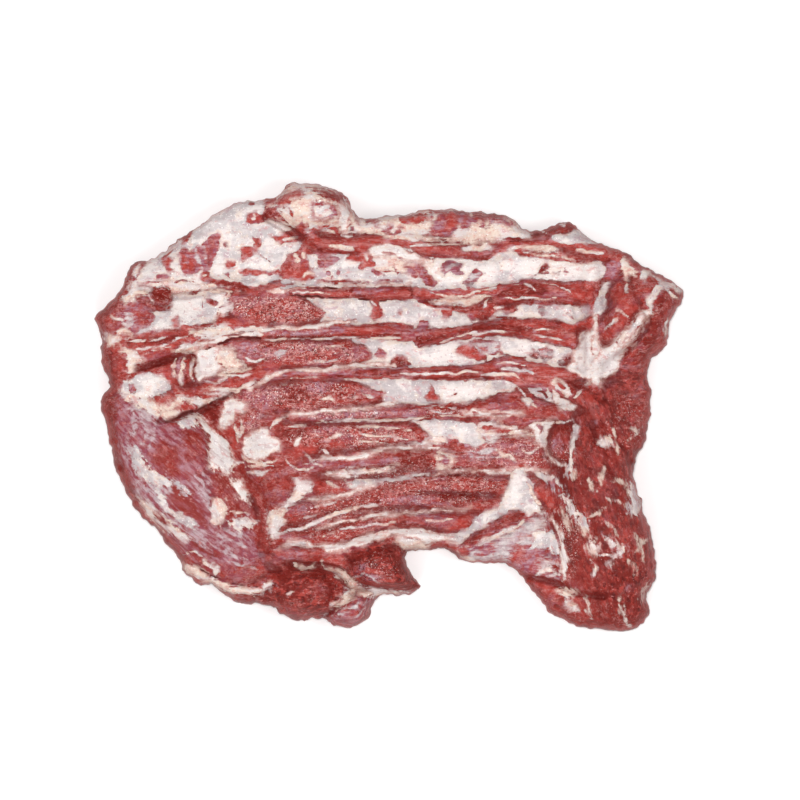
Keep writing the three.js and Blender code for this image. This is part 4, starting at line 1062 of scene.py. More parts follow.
def paint(x, y):
    """Distances into each tissue, and the rise of the layers, at each point."""
    fields = {name: np.full(x.shape, -FAR) for name in TISSUES}
    rise = np.zeros(x.shape)
    ragged = 1.1 * BUMPS[0](x, y, 6.0) + 0.9 * BUMPS[1](x, y, 2.9)
    # The drawing is pulled about a little, so that no line stays even
    drawn_x = x + 2.4 * BUMPS[2](x, y, 14.0) + 1.5 * BUMPS[3](x, y, 6.5)
    drawn_y = y + 1.7 * BUMPS[4](x, y, 14.0) + 1.1 * BUMPS[5](x, y, 6.5)
    for tissue, half, layer, points in drawn_layers():
        line = points if half is None else curve(points, False, 5.0)
        close = near(x, y, line, REACH)
        px, py = drawn_x[close], drawn_y[close]
        if half is None:
            inside = signed_distance(px, py, line) + ragged[close]
        else:
            inside = stroke(px, py, line, half) + min(0.8, half / 6.0) * ragged[close]
            inside *= max(1.0, min(3.0, 6.0 / half))
        for name in TISSUES:
            field = fields[name]
            if name == tissue:
                field[close] = np.maximum(field[close], inside)
            elif tissue not in SHEER:
                field[close] = np.minimum(field[close], -inside)
        # A layer's edge is rounded, and a fine crease runs along it
        if tissue not in SHEER:
            plateau = ease(inside / 4.0)
            crease = np.exp(-((inside / 1.6) ** 2))
            rise[close] += 1.7 * layer * plateau - 0.5 * min(1.0, 0.3 + abs(layer)) * crease
    return fields, rise


def relief(x, y, fields):
    """Fine relief of the tissues themselves."""
    pale = ease((np.maximum(fields["fat"], fields["white"]) + 2) / 4)
    smooth = ease((fields["fascia"] + 2) / 4)
    lumps = BUMPS[3](x, y, 13.0) + 0.6 * BUMPS[4](x, y, 7.0)
    fibres = BUMPS[5](x, y, 22.0, 3.6) + 0.5 * BUMPS[0](x, y, 11.0, 2.6, 6.0)
    meat = lumps + 0.9 * fibres
    soft = 0.9 * BUMPS[1](x, y, 11.0) + 0.5 * BUMPS[4](x, y, 6.0)
    height = meat * (1 - pale) * (1 - smooth) + soft * pale + 0.3 * lumps * smooth
    neck = mass(x, y, (305, -130), (200, 85), -84, 0.6) * (1 - 0.6 * pale)
    folds = 1 - 2 * np.abs(BUMPS[4](x, y, 46.0, 17.0, -72.0))
    folds += 0.6 * (1 - 2 * np.abs(BUMPS[5](x, y, 24.0, 11.0, -55.0)))
    height = height + 4.0 * neck * folds
    coarse = mass(x, y, (-118, -262), (66, 40), 0, 0.5)
    return height + coarse * (2.0 * BUMPS[2](x, y, 7.5) + 1.2 * BUMPS[3](x, y, 4.2))


# Mesh --------------------------------------------------------------------------------------------


def trimmed_sheet(step):
    """A grid trimmed to the outline, its border moved onto the outline."""
    low = EDGE.min(axis=0) - 3 * step
    high = EDGE.max(axis=0) + 3 * step
    x, y = np.meshgrid(np.arange(low[0], high[0], step), np.arange(low[1], high[1], step))
    inside = signed_distance(x, y, EDGE)
    # The foot is tucked in along a smooth field, so that it doesn't fold over itself
    flow_y, flow_x = np.gradient(blur(inside, round(8.0 / step)), step)
    inside += 1.5 * BUMPS[0](x, y, 15.0) + 1.2 * BUMPS[1](x, y, 7.5) + 1.3 * BUMPS[3](x, y, 5.0)
    slope_y, slope_x = np.gradient(inside, step)
    size = slope_x**2 + slope_y**2 + 1e-6
    snap = np.zeros(x.shape, bool)
    for axis in (0, 1):
        a = [slice(None), slice(None)]
        b = [slice(None), slice(None)]
        a[axis] = slice(0, -1)
        b[axis] = slice(1, None)
        da, db = inside[tuple(a)], inside[tuple(b)]
        crossing = (da > 0) != (db > 0)
        snap[tuple(a)] |= crossing & (np.abs(da) < np.abs(db))
        snap[tuple(b)] |= crossing & (np.abs(db) <= np.abs(da))
    x = np.where(snap, x - inside * slope_x / size, x)
    y = np.where(snap, y - inside * slope_y / size, y)
    kept = snap | (inside > 0)
    depth = np.where(snap, 0.0, inside)
    rows, columns = x.shape
    number = np.arange(rows * columns).reshape(rows, columns)
    corners = np.stack([number[:-1, :-1], number[:-1, 1:], number[1:, 1:], number[1:, :-1]], -1)
    usable = kept.ravel()[corners.reshape(-1, 4)]
    corners = corners.reshape(-1, 4)
    px, py = x.ravel(), y.ravel()
    faces = []
    for quad, good in zip(corners[usable.sum(axis=1) >= 3], usable[usable.sum(axis=1) >= 3]):
        face = quad[good]
        area = 0.5 * sum(
            px[face[i - 1]] * py[face[i]] - px[face[i]] * py[face[i - 1]] for i in range(len(face))
        )
        if area > 0.04 * step * step:
            faces.append(tuple(int(v) for v in face))
    used = np.unique(np.concatenate([np.array(f) for f in faces]))
    index = np.full(rows * columns, -1)
    index[used] = np.arange(len(used))
    faces = [tuple(int(index[v]) for v in face) for face in faces]
    pull = np.stack([flow_x, flow_y], -1).reshape(-1, 2)
    return px[used], py[used], depth.ravel()[used], pull[used], faces


def border_edges(faces):
    """Edges with a face on one side only, in the direction of that face."""
    seen = {}
    for face in faces:
        for a, b in zip(face, face[1:] + face[:1]):
            if (b, a) in seen:
                del seen[(b, a)]
            else:
                seen[(a, b)] = True
    return list(seen)


def slab_mesh(step, rings):
    """Vertices and faces of the whole slab: top, side and underside."""
    x, y, depth, pull, faces = trimmed_sheet(step)
    fields, rise = paint(x, y)
    full = thickness(x, y)
    share = np.clip(depth / (RIM_ROUND * full), 0, 1)
    fade = ease(depth / 6.0)
    top = full * (RIM_SHARE + (1 - RIM_SHARE) * (1 - (1 - share) ** 2) ** 0.6)
    top += (rise + relief(x, y, fields)) * (0.35 + 0.65 * fade)
    count = len(x)
    tuck = FOOT_TUCK * np.clip(1 - depth / 30.0, 0, 1)
    under = 1.6 + 1.6 * BUMPS[2](x, y, 38.0)
    under = under * ease(depth / 25.0)
    points = [np.stack([x, y, top], -1)]
    points.append(np.stack([x + pull[:, 0] * tuck, y + pull[:, 1] * tuck, under], -1))
    edges = border_edges(faces)
    rim = np.unique(np.array(edges))
    slot = {int(v): k for k, v in enumerate(rim)}
    for ring in range(1, rings):
        t = ring / rings
        z = top[rim] * (1 - t)
        inset = FOOT_TUCK * np.clip(1 - z / FOOT_RISE, 0, 1) ** 1.5
        bulge = 0.8 * BUMPS[4](x[rim] + y[rim], z, 9.0) + 1.8 * BUMPS[2](x[rim] + y[rim], z, 30.0, 9.0)
        inset += bulge * math.sin(math.pi * t)
        points.append(
            np.stack([x[rim] + pull[rim, 0] * inset, y[rim] + pull[rim, 1] * inset, z], -1)
        )
    all_faces = list(faces) + [tuple(v + count for v in reversed(face)) for face in faces]
    base = 2 * count
    levels = [lambda v: v]
    for ring in range(rings - 1):
        levels.append(lambda v, ring=ring: base + ring * len(rim) + slot[v])
    levels.append(lambda v: v + count)
    for a, b in edges:
        for upper, lower in zip(levels, levels[1:]):
            all_faces.append((upper(b), upper(a), lower(a), lower(b)))
    vertices = np.concatenate(points)
    vertices[:, :2] += SHIFT
    return vertices, all_faces, count


def store(mesh, name, values):
    """Keeps a value for each vertex as a named attribute."""
    layer = mesh.attributes.new(name, "FLOAT", "POINT")
    layer.data.foreach_set("value", np.asarray(values, np.float32))


def hollows(step=3.0):
    """How deep each point lies under its surroundings, from 0 to 1, for the shade painted into the hollows.
    """
    low = EDGE.min(axis=0) - 20
    high = EDGE.max(axis=0) + 20
    x, y = np.meshgrid(np.arange(low[0], high[0], step), np.arange(low[1], high[1], step))
    fields, rise = paint(x, y)
    height = thickness(x, y) + rise + relief(x, y, fields)
    near_by = blur(height, 1) - height
    around = blur(height, 3) - blur(height, 1)
    # The painted shade in the hollows is stronger in the neck
    deep = 1 + mass(x, y, (305, -130), (215, 100), -84, 0.5)
    return Grid(low, step, np.clip(deep * (0.3 * near_by + 0.28 * around), 0, 1))


def paint_mesh(mesh):
    """Stores the tissues, flecks and grain of a mesh as attributes of its points."""
    co = np.empty(len(mesh.vertices) * 3, np.float32)
    mesh.vertices.foreach_get("co", co)
    co = co.reshape(-1, 3) / MM
    x = co[:, 0] - SHIFT[0]
    y = co[:, 1] - SHIFT[1]
    fields, _ = paint(x, y)
    for name, values in fields.items():
        store(mesh, name, np.clip(values, -LIMIT, LIMIT))
    fleck = np.full(x.shape, 0.12)
    for centre, half, turn, share in FLECKED:
        fleck = np.maximum(fleck, share * mass(x, y, centre, half, turn, 0.5))
    strip = np.zeros(x.shape)
    for half, _, path in STRIPS[:STRIPS_OVER_RIBS]:
        line = curve(parse(path), False, 8.0)
        close = near(x, y, line, 2 * half)
        gap = distance(x[close], y[close], line, False)
        strip[close] = np.maximum(strip[close], ease((1.5 * half - gap) / (0.6 * half)))
    store(mesh, "strip", strip)
    store(mesh, "fleck", fleck * (1 - 0.6 * strip))
    # How deep each point lies, for the painted shade in the hollows
    store(mesh, "cavity_shade", hollows()(x, y))
    torn = mass(x, y, (-290, -110), (170, 110), -52, 0.4)
    torn = np.maximum(torn, mass(x, y, (300, -190), (160, 100), -84, 0.4))
    store(mesh, "torn", torn)
    for name, centre, half, turn, _ in GRAINS:
        store(mesh, name, mass(x, y, centre, half, turn, 0.5))
    # Where the muscle is painted darkest, partly its own deep red and partly painted shade
    deep = np.zeros(x.shape)
    for centre, half, turn, share in DEEP:
        deep = np.maximum(deep, share * mass(x, y, centre, half, turn, 0.5))
    store(mesh, "deep", deep)
    normal = np.empty(len(mesh.vertices) * 3, np.float32)
    mesh.vertices.foreach_get("normal", normal)
    upward = normal.reshape(-1, 3)[:, 2]
    store(mesh, "under", ease((-upward - 0.5) / 0.35))
    store(mesh, "drop", RIM_SHARE * thickness(x, y) - co[:, 2])
    store(mesh, "steep", ease((0.75 - upward) / 0.6))


# Materials ---------------------------------------------------------------------------------------


# Kinds of nodes: the node, the number of the output it gives, its settings
KINDS = {
    "place": ("TexCoord", 3, {}),
    "attribute": ("Attribute", 2, {}),
    "turned": ("Mapping", 0, {"vector_type": "TEXTURE"}),
    "stretched": ("VectorMath", 0, {"operation": "MULTIPLY"}),
    "choice": ("Mix", 1, {"data_type": "VECTOR"}),
    "noise": ("TexNoise", 0, {}),
    "ramp": ("MapRange", 0, {"interpolation_type": "SMOOTHSTEP"}),
    "mix": ("Mix", 2, {"data_type": "RGBA"}),
    "bump": ("Bump", 0, {}),
    "shader": ("BsdfPrincipled", 0, {}),
    "surface": ("OutputMaterial", None, {}),
}


def linear(text):
    """A linear colour from an sRGB hex value."""
    values = [int(text[i : i + 2], 16) / 255 for i in (1, 3, 5)]
    return [v / 12.92 if v <= 0.04045 else ((v + 0.055) / 1.055) ** 2.4 for v in values] + [1.0]


def add(tree, kind, *values, **named):
    """Adds a node and gives its output. A kind in capitals is an operation of the Math node.
    The values, or links, go to the sockets in their order, the named ones to the socket or the
    setting of that name.
    """
    kind, output, settings = KINDS.get(kind, ("Math", 0, {"operation": kind}))
    node = tree.nodes.new("ShaderNode" + kind)
    for name, value in settings.items():
        setattr(node, name, value)
    inputs = list(zip([socket for socket in node.inputs if socket.enabled], values))
    for name, value in named.items():
        if name in node.inputs:
            inputs.append((node.inputs[name], value))
        else:
            setattr(node, name, value)
    for socket, value in inputs:
        if isinstance(value, bpy.types.NodeSocket):
            tree.links.new(value, socket)
        else:
            socket.default_value = value
    return None if output is None else node.outputs[output]


def scale(size):
    """Scale of a noise whose patches have a size in millimetres."""
    return 1.0 / (size * MM)


def meat_material():
    """Raw buffalo meat, cut with a knife: deep red muscle that is wet with juice and shines a
    little, cream fat, grey fascia.
    """
    material = bpy.data.materials.new("raw_buffalo_meat")
    material.use_nodes = True
    tree = material.node_tree
    tree.nodes.clear()
    node = partial(add, tree)
    look = bpy.context.scene.forequarter_look
    place = node("place")
    names = [*TISSUES, *(name for name, *_ in GRAINS)]
    names += ["strip", "fleck", "cavity_shade", "torn", "deep", "under", "drop", "steep"]
    field = {name: node("attribute", attribute_name=name) for name in names}

    def hue(name):
        return linear(getattr(look, name))

    def tones(pattern, low, high, first, second):
        """One colour that goes over into a second one along a pattern."""
        return node("mix", node("ramp", pattern, low, high), hue(first), hue(second))

    def tint(colour, pattern, low, high, start, end, name):
        """A colour with another one over it, by a share that goes from start to end."""
        return node("mix", node("ramp", pattern, low, high, start, end), colour, hue(name))

    def threads(pattern, middle, core, rim, where):
        """Thin lines where a pattern passes its middle."""
        off = node("ABSOLUTE", node("SUBTRACT", pattern, middle))
        return node("MULTIPLY", node("ramp", off, core, rim, 1.0, 0.0), where)

    def drawn(angle):
        """Space drawn out to five times its length along one direction."""
        turned = node("turned", place, Rotation=(0.0, 0.0, math.radians(angle)))
        return node("stretched", turned, (0.2, 1.0, 1.0))

    # Space drawn out along the fibres: over the ribs along X, aslant on shoulder and neck
    along = drawn(3.0)
    for name, _, _, _, angle in GRAINS:
        zone = node("MULTIPLY_ADD", node("noise", place, scale(20.0), 3.0, 0.55), 0.5, field[name])
        along = node("choice", node("GREATER_THAN", zone, 0.7), along, drawn(angle))
    half_drawn = node("stretched", along, (2.4, 1.0, 1.0))

    grain = node("noise", along, scale(2.4), 3.0, 0.62)
    streaks = node("noise", along, scale(5.5), 3.0, 0.6)
    clouds = node("noise", half_drawn, scale(19.0), 4.0, 0.6)
    patches = node("noise", place, scale(8.0), 4.0, 0.6)
    broad = node("noise", place, scale(30.0), 3.0, 0.55)
    fine = node("noise", place, scale(3.0), 2.0, 0.55)
    mottle = node("noise", place, scale(5.0), 3.0, 0.65)

    # Borders wander by a few millimetres, with fingers along the fibres
    wander = node("MULTIPLY_ADD", node("noise", place, scale(6.0), 5.0, 0.68), 14.0, -7.0)
    wander = node("ADD", wander, node("MULTIPLY_ADD", streaks, 18.0, -9.0))
    # Here a border is cut clean, there it fades out
    blend = node("ramp", node("noise", place, scale(16.0), 2.0, 0.55), 0.42, 0.62, 0.6, 2.8)
    # The strips over the ribs are calmer than the rest, and their borders are cleaner
    calm = node("MULTIPLY_ADD", field["strip"], -0.65, 1.0)
    clean = node("MULTIPLY_ADD", field["strip"], 1.2, 1.0)

    def tissue(name, edge, rag):
        """Share of a tissue, with a ragged border."""
        shifted = node("MULTIPLY_ADD", node("MULTIPLY", wander, calm), rag, field[name])
        return node("ramp", node("DIVIDE", node("MULTIPLY", shifted, clean), blend), -edge, edge)

    # Muscle: bundles of fibres, paler and deeper patches; over the ribs it is brighter, partly its own
    # brighter red and partly a painted highlight on the rounded strips
    muscle = tones(grain, 0.38, 0.6, "muscle_deep", "muscle")
    open_cut = node("MULTIPLY", node("ramp", field["fleck"], 0.1, 0.6, 0.35, 1.0), calm)
    uneven = node("ramp", node("noise", place, scale(15.0), 3.0, 0.55), 0.38, 0.6, 0.35, 1.0)
    open_cut = node("MULTIPLY", open_cut, uneven)
    lighter = node("MULTIPLY", node("ramp", mottle, 0.53, 0.64, 0.0, 0.85), open_cut)
    muscle = node("mix", lighter, muscle, hue("muscle_pale"))
    deeper = node("MULTIPLY", node("ramp", mottle, 0.37, 0.47, 0.85, 0.0), open_cut)
    muscle = node("mix", deeper, muscle, hue("muscle_black"))
    patchy = node("MULTIPLY", node("ramp", patches, 0.5, 0.68, 0.0, 0.55), calm)
    muscle = node("mix", patchy, muscle, hue("muscle_pale"))
    muscle = tint(muscle, broad, 0.45, 0.66, 0.0, 0.55, "muscle_deep")
    blush = node("noise", place, scale(17.0), 3.0, 0.55)
    muscle = tint(muscle, blush, 0.5, 0.66, 0.0, 0.5, "muscle_bright")
    # Over the ribs: a brighter red, partly real and partly painted highlight, and pink streaks that are
    # painted highlights along the tops of the strips
    muscle = node("mix", node("MULTIPLY", field["strip"], 0.4), muscle, hue("muscle_bright"))
    strip_highlight = node("MULTIPLY", field["strip"], node("ramp", streaks, 0.44, 0.62, 0.0, 0.6))
    muscle = node("mix", strip_highlight, muscle, hue("muscle_pale"))
    # Dark and bright muscle, and purple skin
    dark = tones(grain, 0.38, 0.66, "muscle_dark", "muscle_deep")
    dark = tint(dark, patches, 0.5, 0.7, 0.0, 0.5, "muscle")
    dark = tint(dark, patches, 0.3, 0.46, 0.4, 0.0, "muscle_black")
    bright = tones(grain, 0.34, 0.62, "muscle", "muscle_bright")
    bright = tint(bright, patches, 0.5, 0.66, 0.0, 0.5, "muscle_pale")
    bright = tint(bright, patches, 0.34, 0.46, 0.6, 0.0, "muscle_deep")
    skin = tones(streaks, 0.38, 0.62, "membrane", "membrane_pale")
    skin = tint(skin, patches, 0.42, 0.62, 0.0, 0.75, "muscle")
    # Fascia, grey and white, with smears of tendon, fat and purple skin
    fascia = tones(clouds, 0.42, 0.6, "fascia_grey", "fascia")
    fascia = tint(fascia, mottle, 0.46, 0.62, 0.0, 0.5, "fascia_grey")
    for size, detail, grit, low, high, most, name in (
        (27.0, 4.0, 0.55, 0.5, 0.6, 0.85, "white"),
        (21.0, 5.0, 0.65, 0.54, 0.64, 0.6, "fat"),
        (12.0, 4.0, 0.55, 0.56, 0.68, 0.55, "membrane_pale"),
    ):
        smears = node("noise", place, scale(size), detail, grit)
        fascia = tint(fascia, smears, low, high, 0.0, most, name)
    cloud = node("MULTIPLY_ADD", wander, 1.5, field["cloud"])
    fascia = tint(fascia, cloud, -5.0, 7.0, 0.0, 0.85, "white")
    # Fat, and white tendon that is grey at its heart and pink at its rim
    fat = tones(mottle, 0.46, 0.66, "fat", "fat_pink")
    fat = tint(fat, clouds, 0.46, 0.58, 0.0, 0.85, "fascia")
    white = tint(hue("white"), mottle, 0.5, 0.7, 0.0, 0.7, "fat")
    heart = node("ramp", clouds, 0.42, 0.54, 0.0, 0.8)
    heart = node("MULTIPLY", node("ramp", field["white"], 2.0, 8.0), heart)
    white = node("mix", heart, white, hue("fascia"))
    rim = node("MULTIPLY_ADD", wander, 0.6, field["white"])
    white = tint(white, rim, 0.5, 3.0, 0.7, 0.0, "fat_pink")

    # Purple skin clings to the muscle in places, and pink marbling runs through it
    off_neck = node("MULTIPLY_ADD", field["grain_neck"], -0.6, 1.0)
    veil = node("ramp", node("noise", half_drawn, scale(23.0), 4.0, 0.6), 0.5, 0.6, 0.0, 0.6)
    muscle = node("mix", node("MULTIPLY", veil, off_neck), muscle, skin)
    where = node("ramp", node("noise", place, scale(11.0), 3.0, 0.55), 0.45, 0.56)
    vein = threads(node("noise", half_drawn, scale(6.5), 3.0, 0.6), 0.5, 0.005, 0.035, where)
    vein = node("MULTIPLY", vein, node("ramp", field["fleck"], 0.0, 0.6, 0.15, 0.85))
    muscle = node("mix", node("MULTIPLY", vein, calm), muscle, hue("vein"))
    # On the neck and the shoulder the bundles are darker in places, partly their own deep red and partly
    # painted shade on their rounded forms
    thick = node("MAXIMUM", field["grain_neck"], field["grain_shoulder"])
    bundle_tone_and_shade = node("ramp", node("noise", half_drawn, scale(24.0), 3.0, 0.5), 0.36, 0.62, 0.9, 0.45)
    muscle = node("mix", node("MULTIPLY", thick, bundle_tone_and_shade), muscle, hue("muscle_deep"))

    # Painted shade: dark lines in the clefts between the bundles, fewer in the neck and the shoulder
    webbed = node("MULTIPLY_ADD", field["grain_neck"], -0.15, 0.3)
    webbed = node("MULTIPLY_ADD", field["grain_shoulder"], -0.2, webbed)
    where = node("ramp", patches, 0.4, 0.56)
    cleft_shade = threads(node("noise", half_drawn, scale(15.0), 4.0, 0.6), 0.5, 0.0, 0.035, where)
    muscle = node("mix", node("MULTIPLY", cleft_shade, webbed), muscle, hue("muscle_black"))

    colour = muscle
    for name, layer in (("dark", dark), ("bright", bright), ("membrane", skin)):
        colour = node("mix", tissue(name, 5.0, 1.3), colour, layer)

    # Threads of connective tissue along the fibres and a net of them between the bundles
    where = node("ramp", patches, 0.46, 0.6, 0.0, 0.5)
    thread = threads(node("noise", along, scale(9.0), 2.0, 0.5), 0.5, 0.004, 0.024, where)
    colour = node("mix", node("MULTIPLY", thread, off_neck), colour, hue("muscle_pale"))
    where = node("ramp", broad, 0.42, 0.56, 0.0, 0.9)
    web = threads(node("noise", half_drawn, scale(19.0), 4.0, 0.62), 0.46, 0.0, 0.022, where)
    colour = node("mix", node("MULTIPLY", web, webbed), colour, hue("fleck"))

    # The neck, the lump and the flap are painted darkest, partly their own dark red and partly painted
    # shade, with painted shade in valleys and black nicks and painted light on bright facets
    valley_shade = node("ramp", node("noise", half_drawn, scale(17.0), 4.0, 0.6), 0.4, 0.56, 0.8, 0.15)
    colour = node("mix", node("MULTIPLY", field["deep"], valley_shade), colour, hue("muscle_dark"))
    lit_facets = node("ramp", node("noise", half_drawn, scale(7.5), 4.0, 0.65), 0.5, 0.62, 0.0, 0.75)
    lit_facets = node("MULTIPLY", lit_facets, field["deep"])
    colour = node("mix", lit_facets, colour, tones(mottle, 0.54, 0.66, "muscle_bright", "muscle_pale"))
    nick_shade = node("ramp", node("noise", half_drawn, scale(5.5), 4.0, 0.65), 0.38, 0.47, 0.85, 0.0)
    colour = node("mix", node("MULTIPLY", nick_shade, field["deep"]), colour, hue("muscle_black"))

    # Muscle turns pink and hazy beside the pale tissues
    gap = node("MAXIMUM", field["fat"], node("MAXIMUM", field["fascia"], field["white"]))
    gap = node("ramp", node("MULTIPLY_ADD", wander, 1.3, gap), -6.0, 1.0)
    haze = node("ramp", node("noise", place, scale(11.0), 4.0, 0.65), 0.44, 0.6, 0.0, 0.65)
    pink = tones(mottle, 0.4, 0.6, "muscle_pale", "membrane_pale")
    colour = node("mix", node("MULTIPLY", gap, haze), colour, pink)

    # Sheer purple skin over the muscle
    gauze = node("ramp", node("MULTIPLY_ADD", wander, 1.2, field["veil"]), -8.0, 6.0, 0.0, 0.85)
    gauze = node("MULTIPLY", gauze, node("ramp", patches, 0.36, 0.6, 1.0, 0.5))
    colour = node("mix", gauze, colour, tones(streaks, 0.4, 0.6, "membrane", "membrane_pale"))

    # Sheer strands of fascia, drawn out along the fibres
    sheer = node("ramp", node("MULTIPLY_ADD", wander, 1.5, field["film"]), -5.0, 5.0)
    smear = node("noise", half_drawn, scale(14.0), 4.0, 0.65)
    smear = node("MULTIPLY_ADD", smear, 0.6, node("MULTIPLY", streaks, 0.4))
    sheer = node("MULTIPLY", sheer, node("ramp", smear, 0.4, 0.56, 0.3, 0.9))
    strand = tones(mottle, 0.4, 0.6, "fascia_grey", "fascia")
    purple = node("MULTIPLY", field["grain_shoulder"], 0.45)
    strand = node("mix", purple, strand, hue("membrane_pale"))
    strand = node("mix", field["grain_neck"], strand, hue("fat"))
    colour = node("mix", sheer, colour, strand)

    # Pale specks and clumps where the muscle is open, painted shade in small dark pits, and painted
    # highlights: wet glints painted into the colour as near-white dots
    amount = field["fleck"]
    bar = node("MULTIPLY_ADD", amount, -0.13, 0.72)
    specks = node("ramp", node("SUBTRACT", fine, bar), -0.015, 0.035, 0.0, 0.8)
    specks = node("MULTIPLY", specks, node("ramp", amount, 0.1, 0.4, 0.35, 1.0))
    colour = node("mix", specks, colour, hue("vein"))
    # Pale clumps, and dark pits that are painted shade
    for size, detail, most, name in (
        (6.5, 4.0, 0.8, "muscle_pale"),
        (4.0, 3.0, 0.7, "muscle_black"),
    ):
        over = node("SUBTRACT", node("noise", place, scale(size), detail, 0.55), bar)
        colour = tint(colour, over, -0.06, 0.02, 0.0, most, name)
    # Painted highlights: near-white dots painted into the colour in place of wet glints
    painted_glints = node("ramp", node("noise", place, scale(2.3), 2.0, 0.55), 0.625, 0.68, 0.0, 0.9)
    painted_glints = node("MULTIPLY", painted_glints, node("ramp", amount, 0.15, 0.6))
    painted_glints = node("MULTIPLY", painted_glints, node("ramp", broad, 0.4, 0.6, 0.25, 1.0))
    colour = node("mix", painted_glints, colour, hue("glint"))

    # Pale tissues lie over the muscle as films of uneven thickness. On the shoulder and the neck
    # they are torn, over the ribs their borders are clean
    torn = node("MULTIPLY_ADD", field["torn"], 1.1, 0.35)
    thin = node("noise", along, scale(6.5), 4.0, 0.6)
    films = []
    for name, edge, rag, low, high, least, layer in (
        ("fascia", 1.6, torn, 0.34, 0.44, 0.8, fascia),
        ("fat", 2.6, 0.9, 0.34, 0.46, 0.65, fat),
        ("white", 2.4, torn, 0.36, 0.46, 0.7, white),
    ):
        film = node("MULTIPLY", tissue(name, edge, rag), node("ramp", thin, low, high, least, 1.0))
        films.append(film)
        colour = node("mix", film, colour, layer)
    pale = node("MAXIMUM", films[0], node("MAXIMUM", films[1], films[2]))
    # A thread of fat lies just inside the fascia's border
    border = node("MULTIPLY_ADD", wander, torn, field["fascia"])
    border = node("MULTIPLY", node("ramp", border, -0.5, 1.0), node("ramp", border, 2.5, 4.5, 1.0, 0.0))
    border = node("MULTIPLY", border, node("ramp", clouds, 0.45, 0.6, 0.0, 0.6))
    colour = node("mix", border, colour, hue("fat"))
    # Blood and stains on the pale tissues, and painted highlights: wet glints painted into their colour as
    # near-white dots
    for space, size, detail, grit, low, high, most, name in (
        (half_drawn, 9.0, 5.0, 0.7, 0.56, 0.66, 0.6, "muscle_pale"),
        (place, 4.5, 3.0, 0.55, 0.63, 0.7, 0.5, "membrane"),
        (place, 2.6, 2.0, 0.55, 0.63, 0.68, 0.9, "glint"),
    ):
        spots = node("ramp", node("noise", space, scale(size), detail, grit), low, high, 0.0, most)
        colour = node("mix", node("MULTIPLY", spots, pale), colour, hue(name))
    # Painted shade: the narrow, sunken slots are painted a near-black red
    colour = node("mix", tissue("slot", 0.8, 0.25), colour, hue("slot"))

    # Painted shade: the hollows are darkened as if shaded, less so on the pale tissues
    painted_cavity_shade = node("ramp", field["cavity_shade"], 0.15, 1.0, 0.0, 0.6)
    painted_cavity_shade = node("MULTIPLY", painted_cavity_shade, node("ramp", pale, 0.0, 1.0, 1.0, 0.35))
    colour = node("mix", painted_cavity_shade, colour, hue("muscle_black"))

    # The side shows the cut layers of muscle, with thin seams of fat between them
    level = node("stretched", place, (0.22, 0.22, 1.0))
    layers = node("noise", level, scale(8.0), 4.0, 0.6)
    cut = tones(layers, 0.36, 0.62, "muscle_dark", "muscle")
    cut = tint(cut, mottle, 0.52, 0.66, 0.0, 0.5, "muscle_pale")
    where = node("ramp", broad, 0.4, 0.56, 0.0, 0.85)
    seam = threads(node("noise", level, scale(13.0), 3.0, 0.5), 0.5, 0.008, 0.035, where)
    cut = node("mix", seam, cut, tones(patches, 0.4, 0.6, "fat_pink", "fat"))
    lower = node("ramp", node("MULTIPLY_ADD", wander, 1.6, field["drop"]), -7.0, 3.0)
    lower = node("MULTIPLY", lower, node("ramp", field["steep"], 0.3, 0.9))
    colour = node("mix", lower, colour, cut)

    # Painted shade: the steep rounded rim is painted a darker red, less so on the pale tissues and on the
    # cut side
    side = node("MULTIPLY", field["steep"], node("ramp", pale, 0.0, 1.0, 0.8, 0.4))
    side = node("MULTIPLY", side, node("MULTIPLY_ADD", lower, -0.75, 1.0))
    colour = node("mix", side, colour, tones(layers, 0.4, 0.6, "muscle_dark", "muscle"))

    # The outer side: a fat cover over red muscle
    cover = node("ramp", node("noise", place, scale(60.0), 4.0, 0.55), 0.42, 0.56)
    outer = node("mix", cover, muscle, tones(patches, 0.35, 0.62, "fat", "fascia"))
    colour = node("mix", field["under"], colour, outer)

    # Fat and fascia are a little duller than muscle, and smoother
    rough = node("MULTIPLY_ADD", node("noise", place, scale(7.0), 2.0, 0.55), 0.3, 0.2)
    rough = node("MULTIPLY_ADD", pale, 0.06, rough)
    heights = node("MULTIPLY", grain, 0.8)
    heights = node("MULTIPLY_ADD", mottle, 2.6, heights)
    heights = node("MULTIPLY_ADD", fine, 0.8, heights)
    heights = node("MULTIPLY", heights, node("ramp", pale, 0.0, 1.0, 1.0, 0.45))
    heights = node("MULTIPLY_ADD", pale, 0.5, heights)
    bump = node("bump", Height=heights, Strength=1.0, Distance=1.0 * MM)
    # Wet meat: a soft body under a thin, glossy film of juice
    wet_meat = {
        "Base Color": colour,
        "Roughness": rough,
        "Normal": bump,
        "IOR": 1.3,
        "Specular IOR Level": 0.03,
        "Subsurface Weight": 0.06,
        "Subsurface Radius": (1.0, 0.35, 0.25),
        "Subsurface Scale": 3.0 * MM,
        "Coat Weight": 0.2,
        "Coat Roughness": 0.07,
        "Coat IOR": 1.8,
        "Coat Normal": bump,
    }
    node("surface", node("shader", **wet_meat))
    return material


# Add-on ------------------------------------------------------------------------------------------


class ForequarterSizes(bpy.types.PropertyGroup):
    """Sizes a user would change."""

    grid_step: FloatProperty(
        name="Relief step", description="Spacing of the relief, in millimetres",
        default=2.25, min=1.5, max=12.0,
    )
    side_rings: IntProperty(
        name="Side rings", description="Rings of faces down the side", default=8, min=3, max=20,
    )
    under_share: FloatProperty(
        name="Underside share", description="Share of the underside's faces that are kept",
        default=0.1, min=0.02, max=1.0, subtype="FACTOR",
    )
    frame_width: FloatProperty(
        name="View width", description="Width that the camera sees at the meat",
        default=1.12, unit="LENGTH",
    )
    view_height: FloatProperty(
        name="Camera height", description="Height of the camera above the table",
        default=8.0, unit="LENGTH",
    )


def colour_property(label, value):
    """A colour that a user can change."""
    return StringProperty(name=label, description=f"{label}, as an sRGB hex value", default=value)


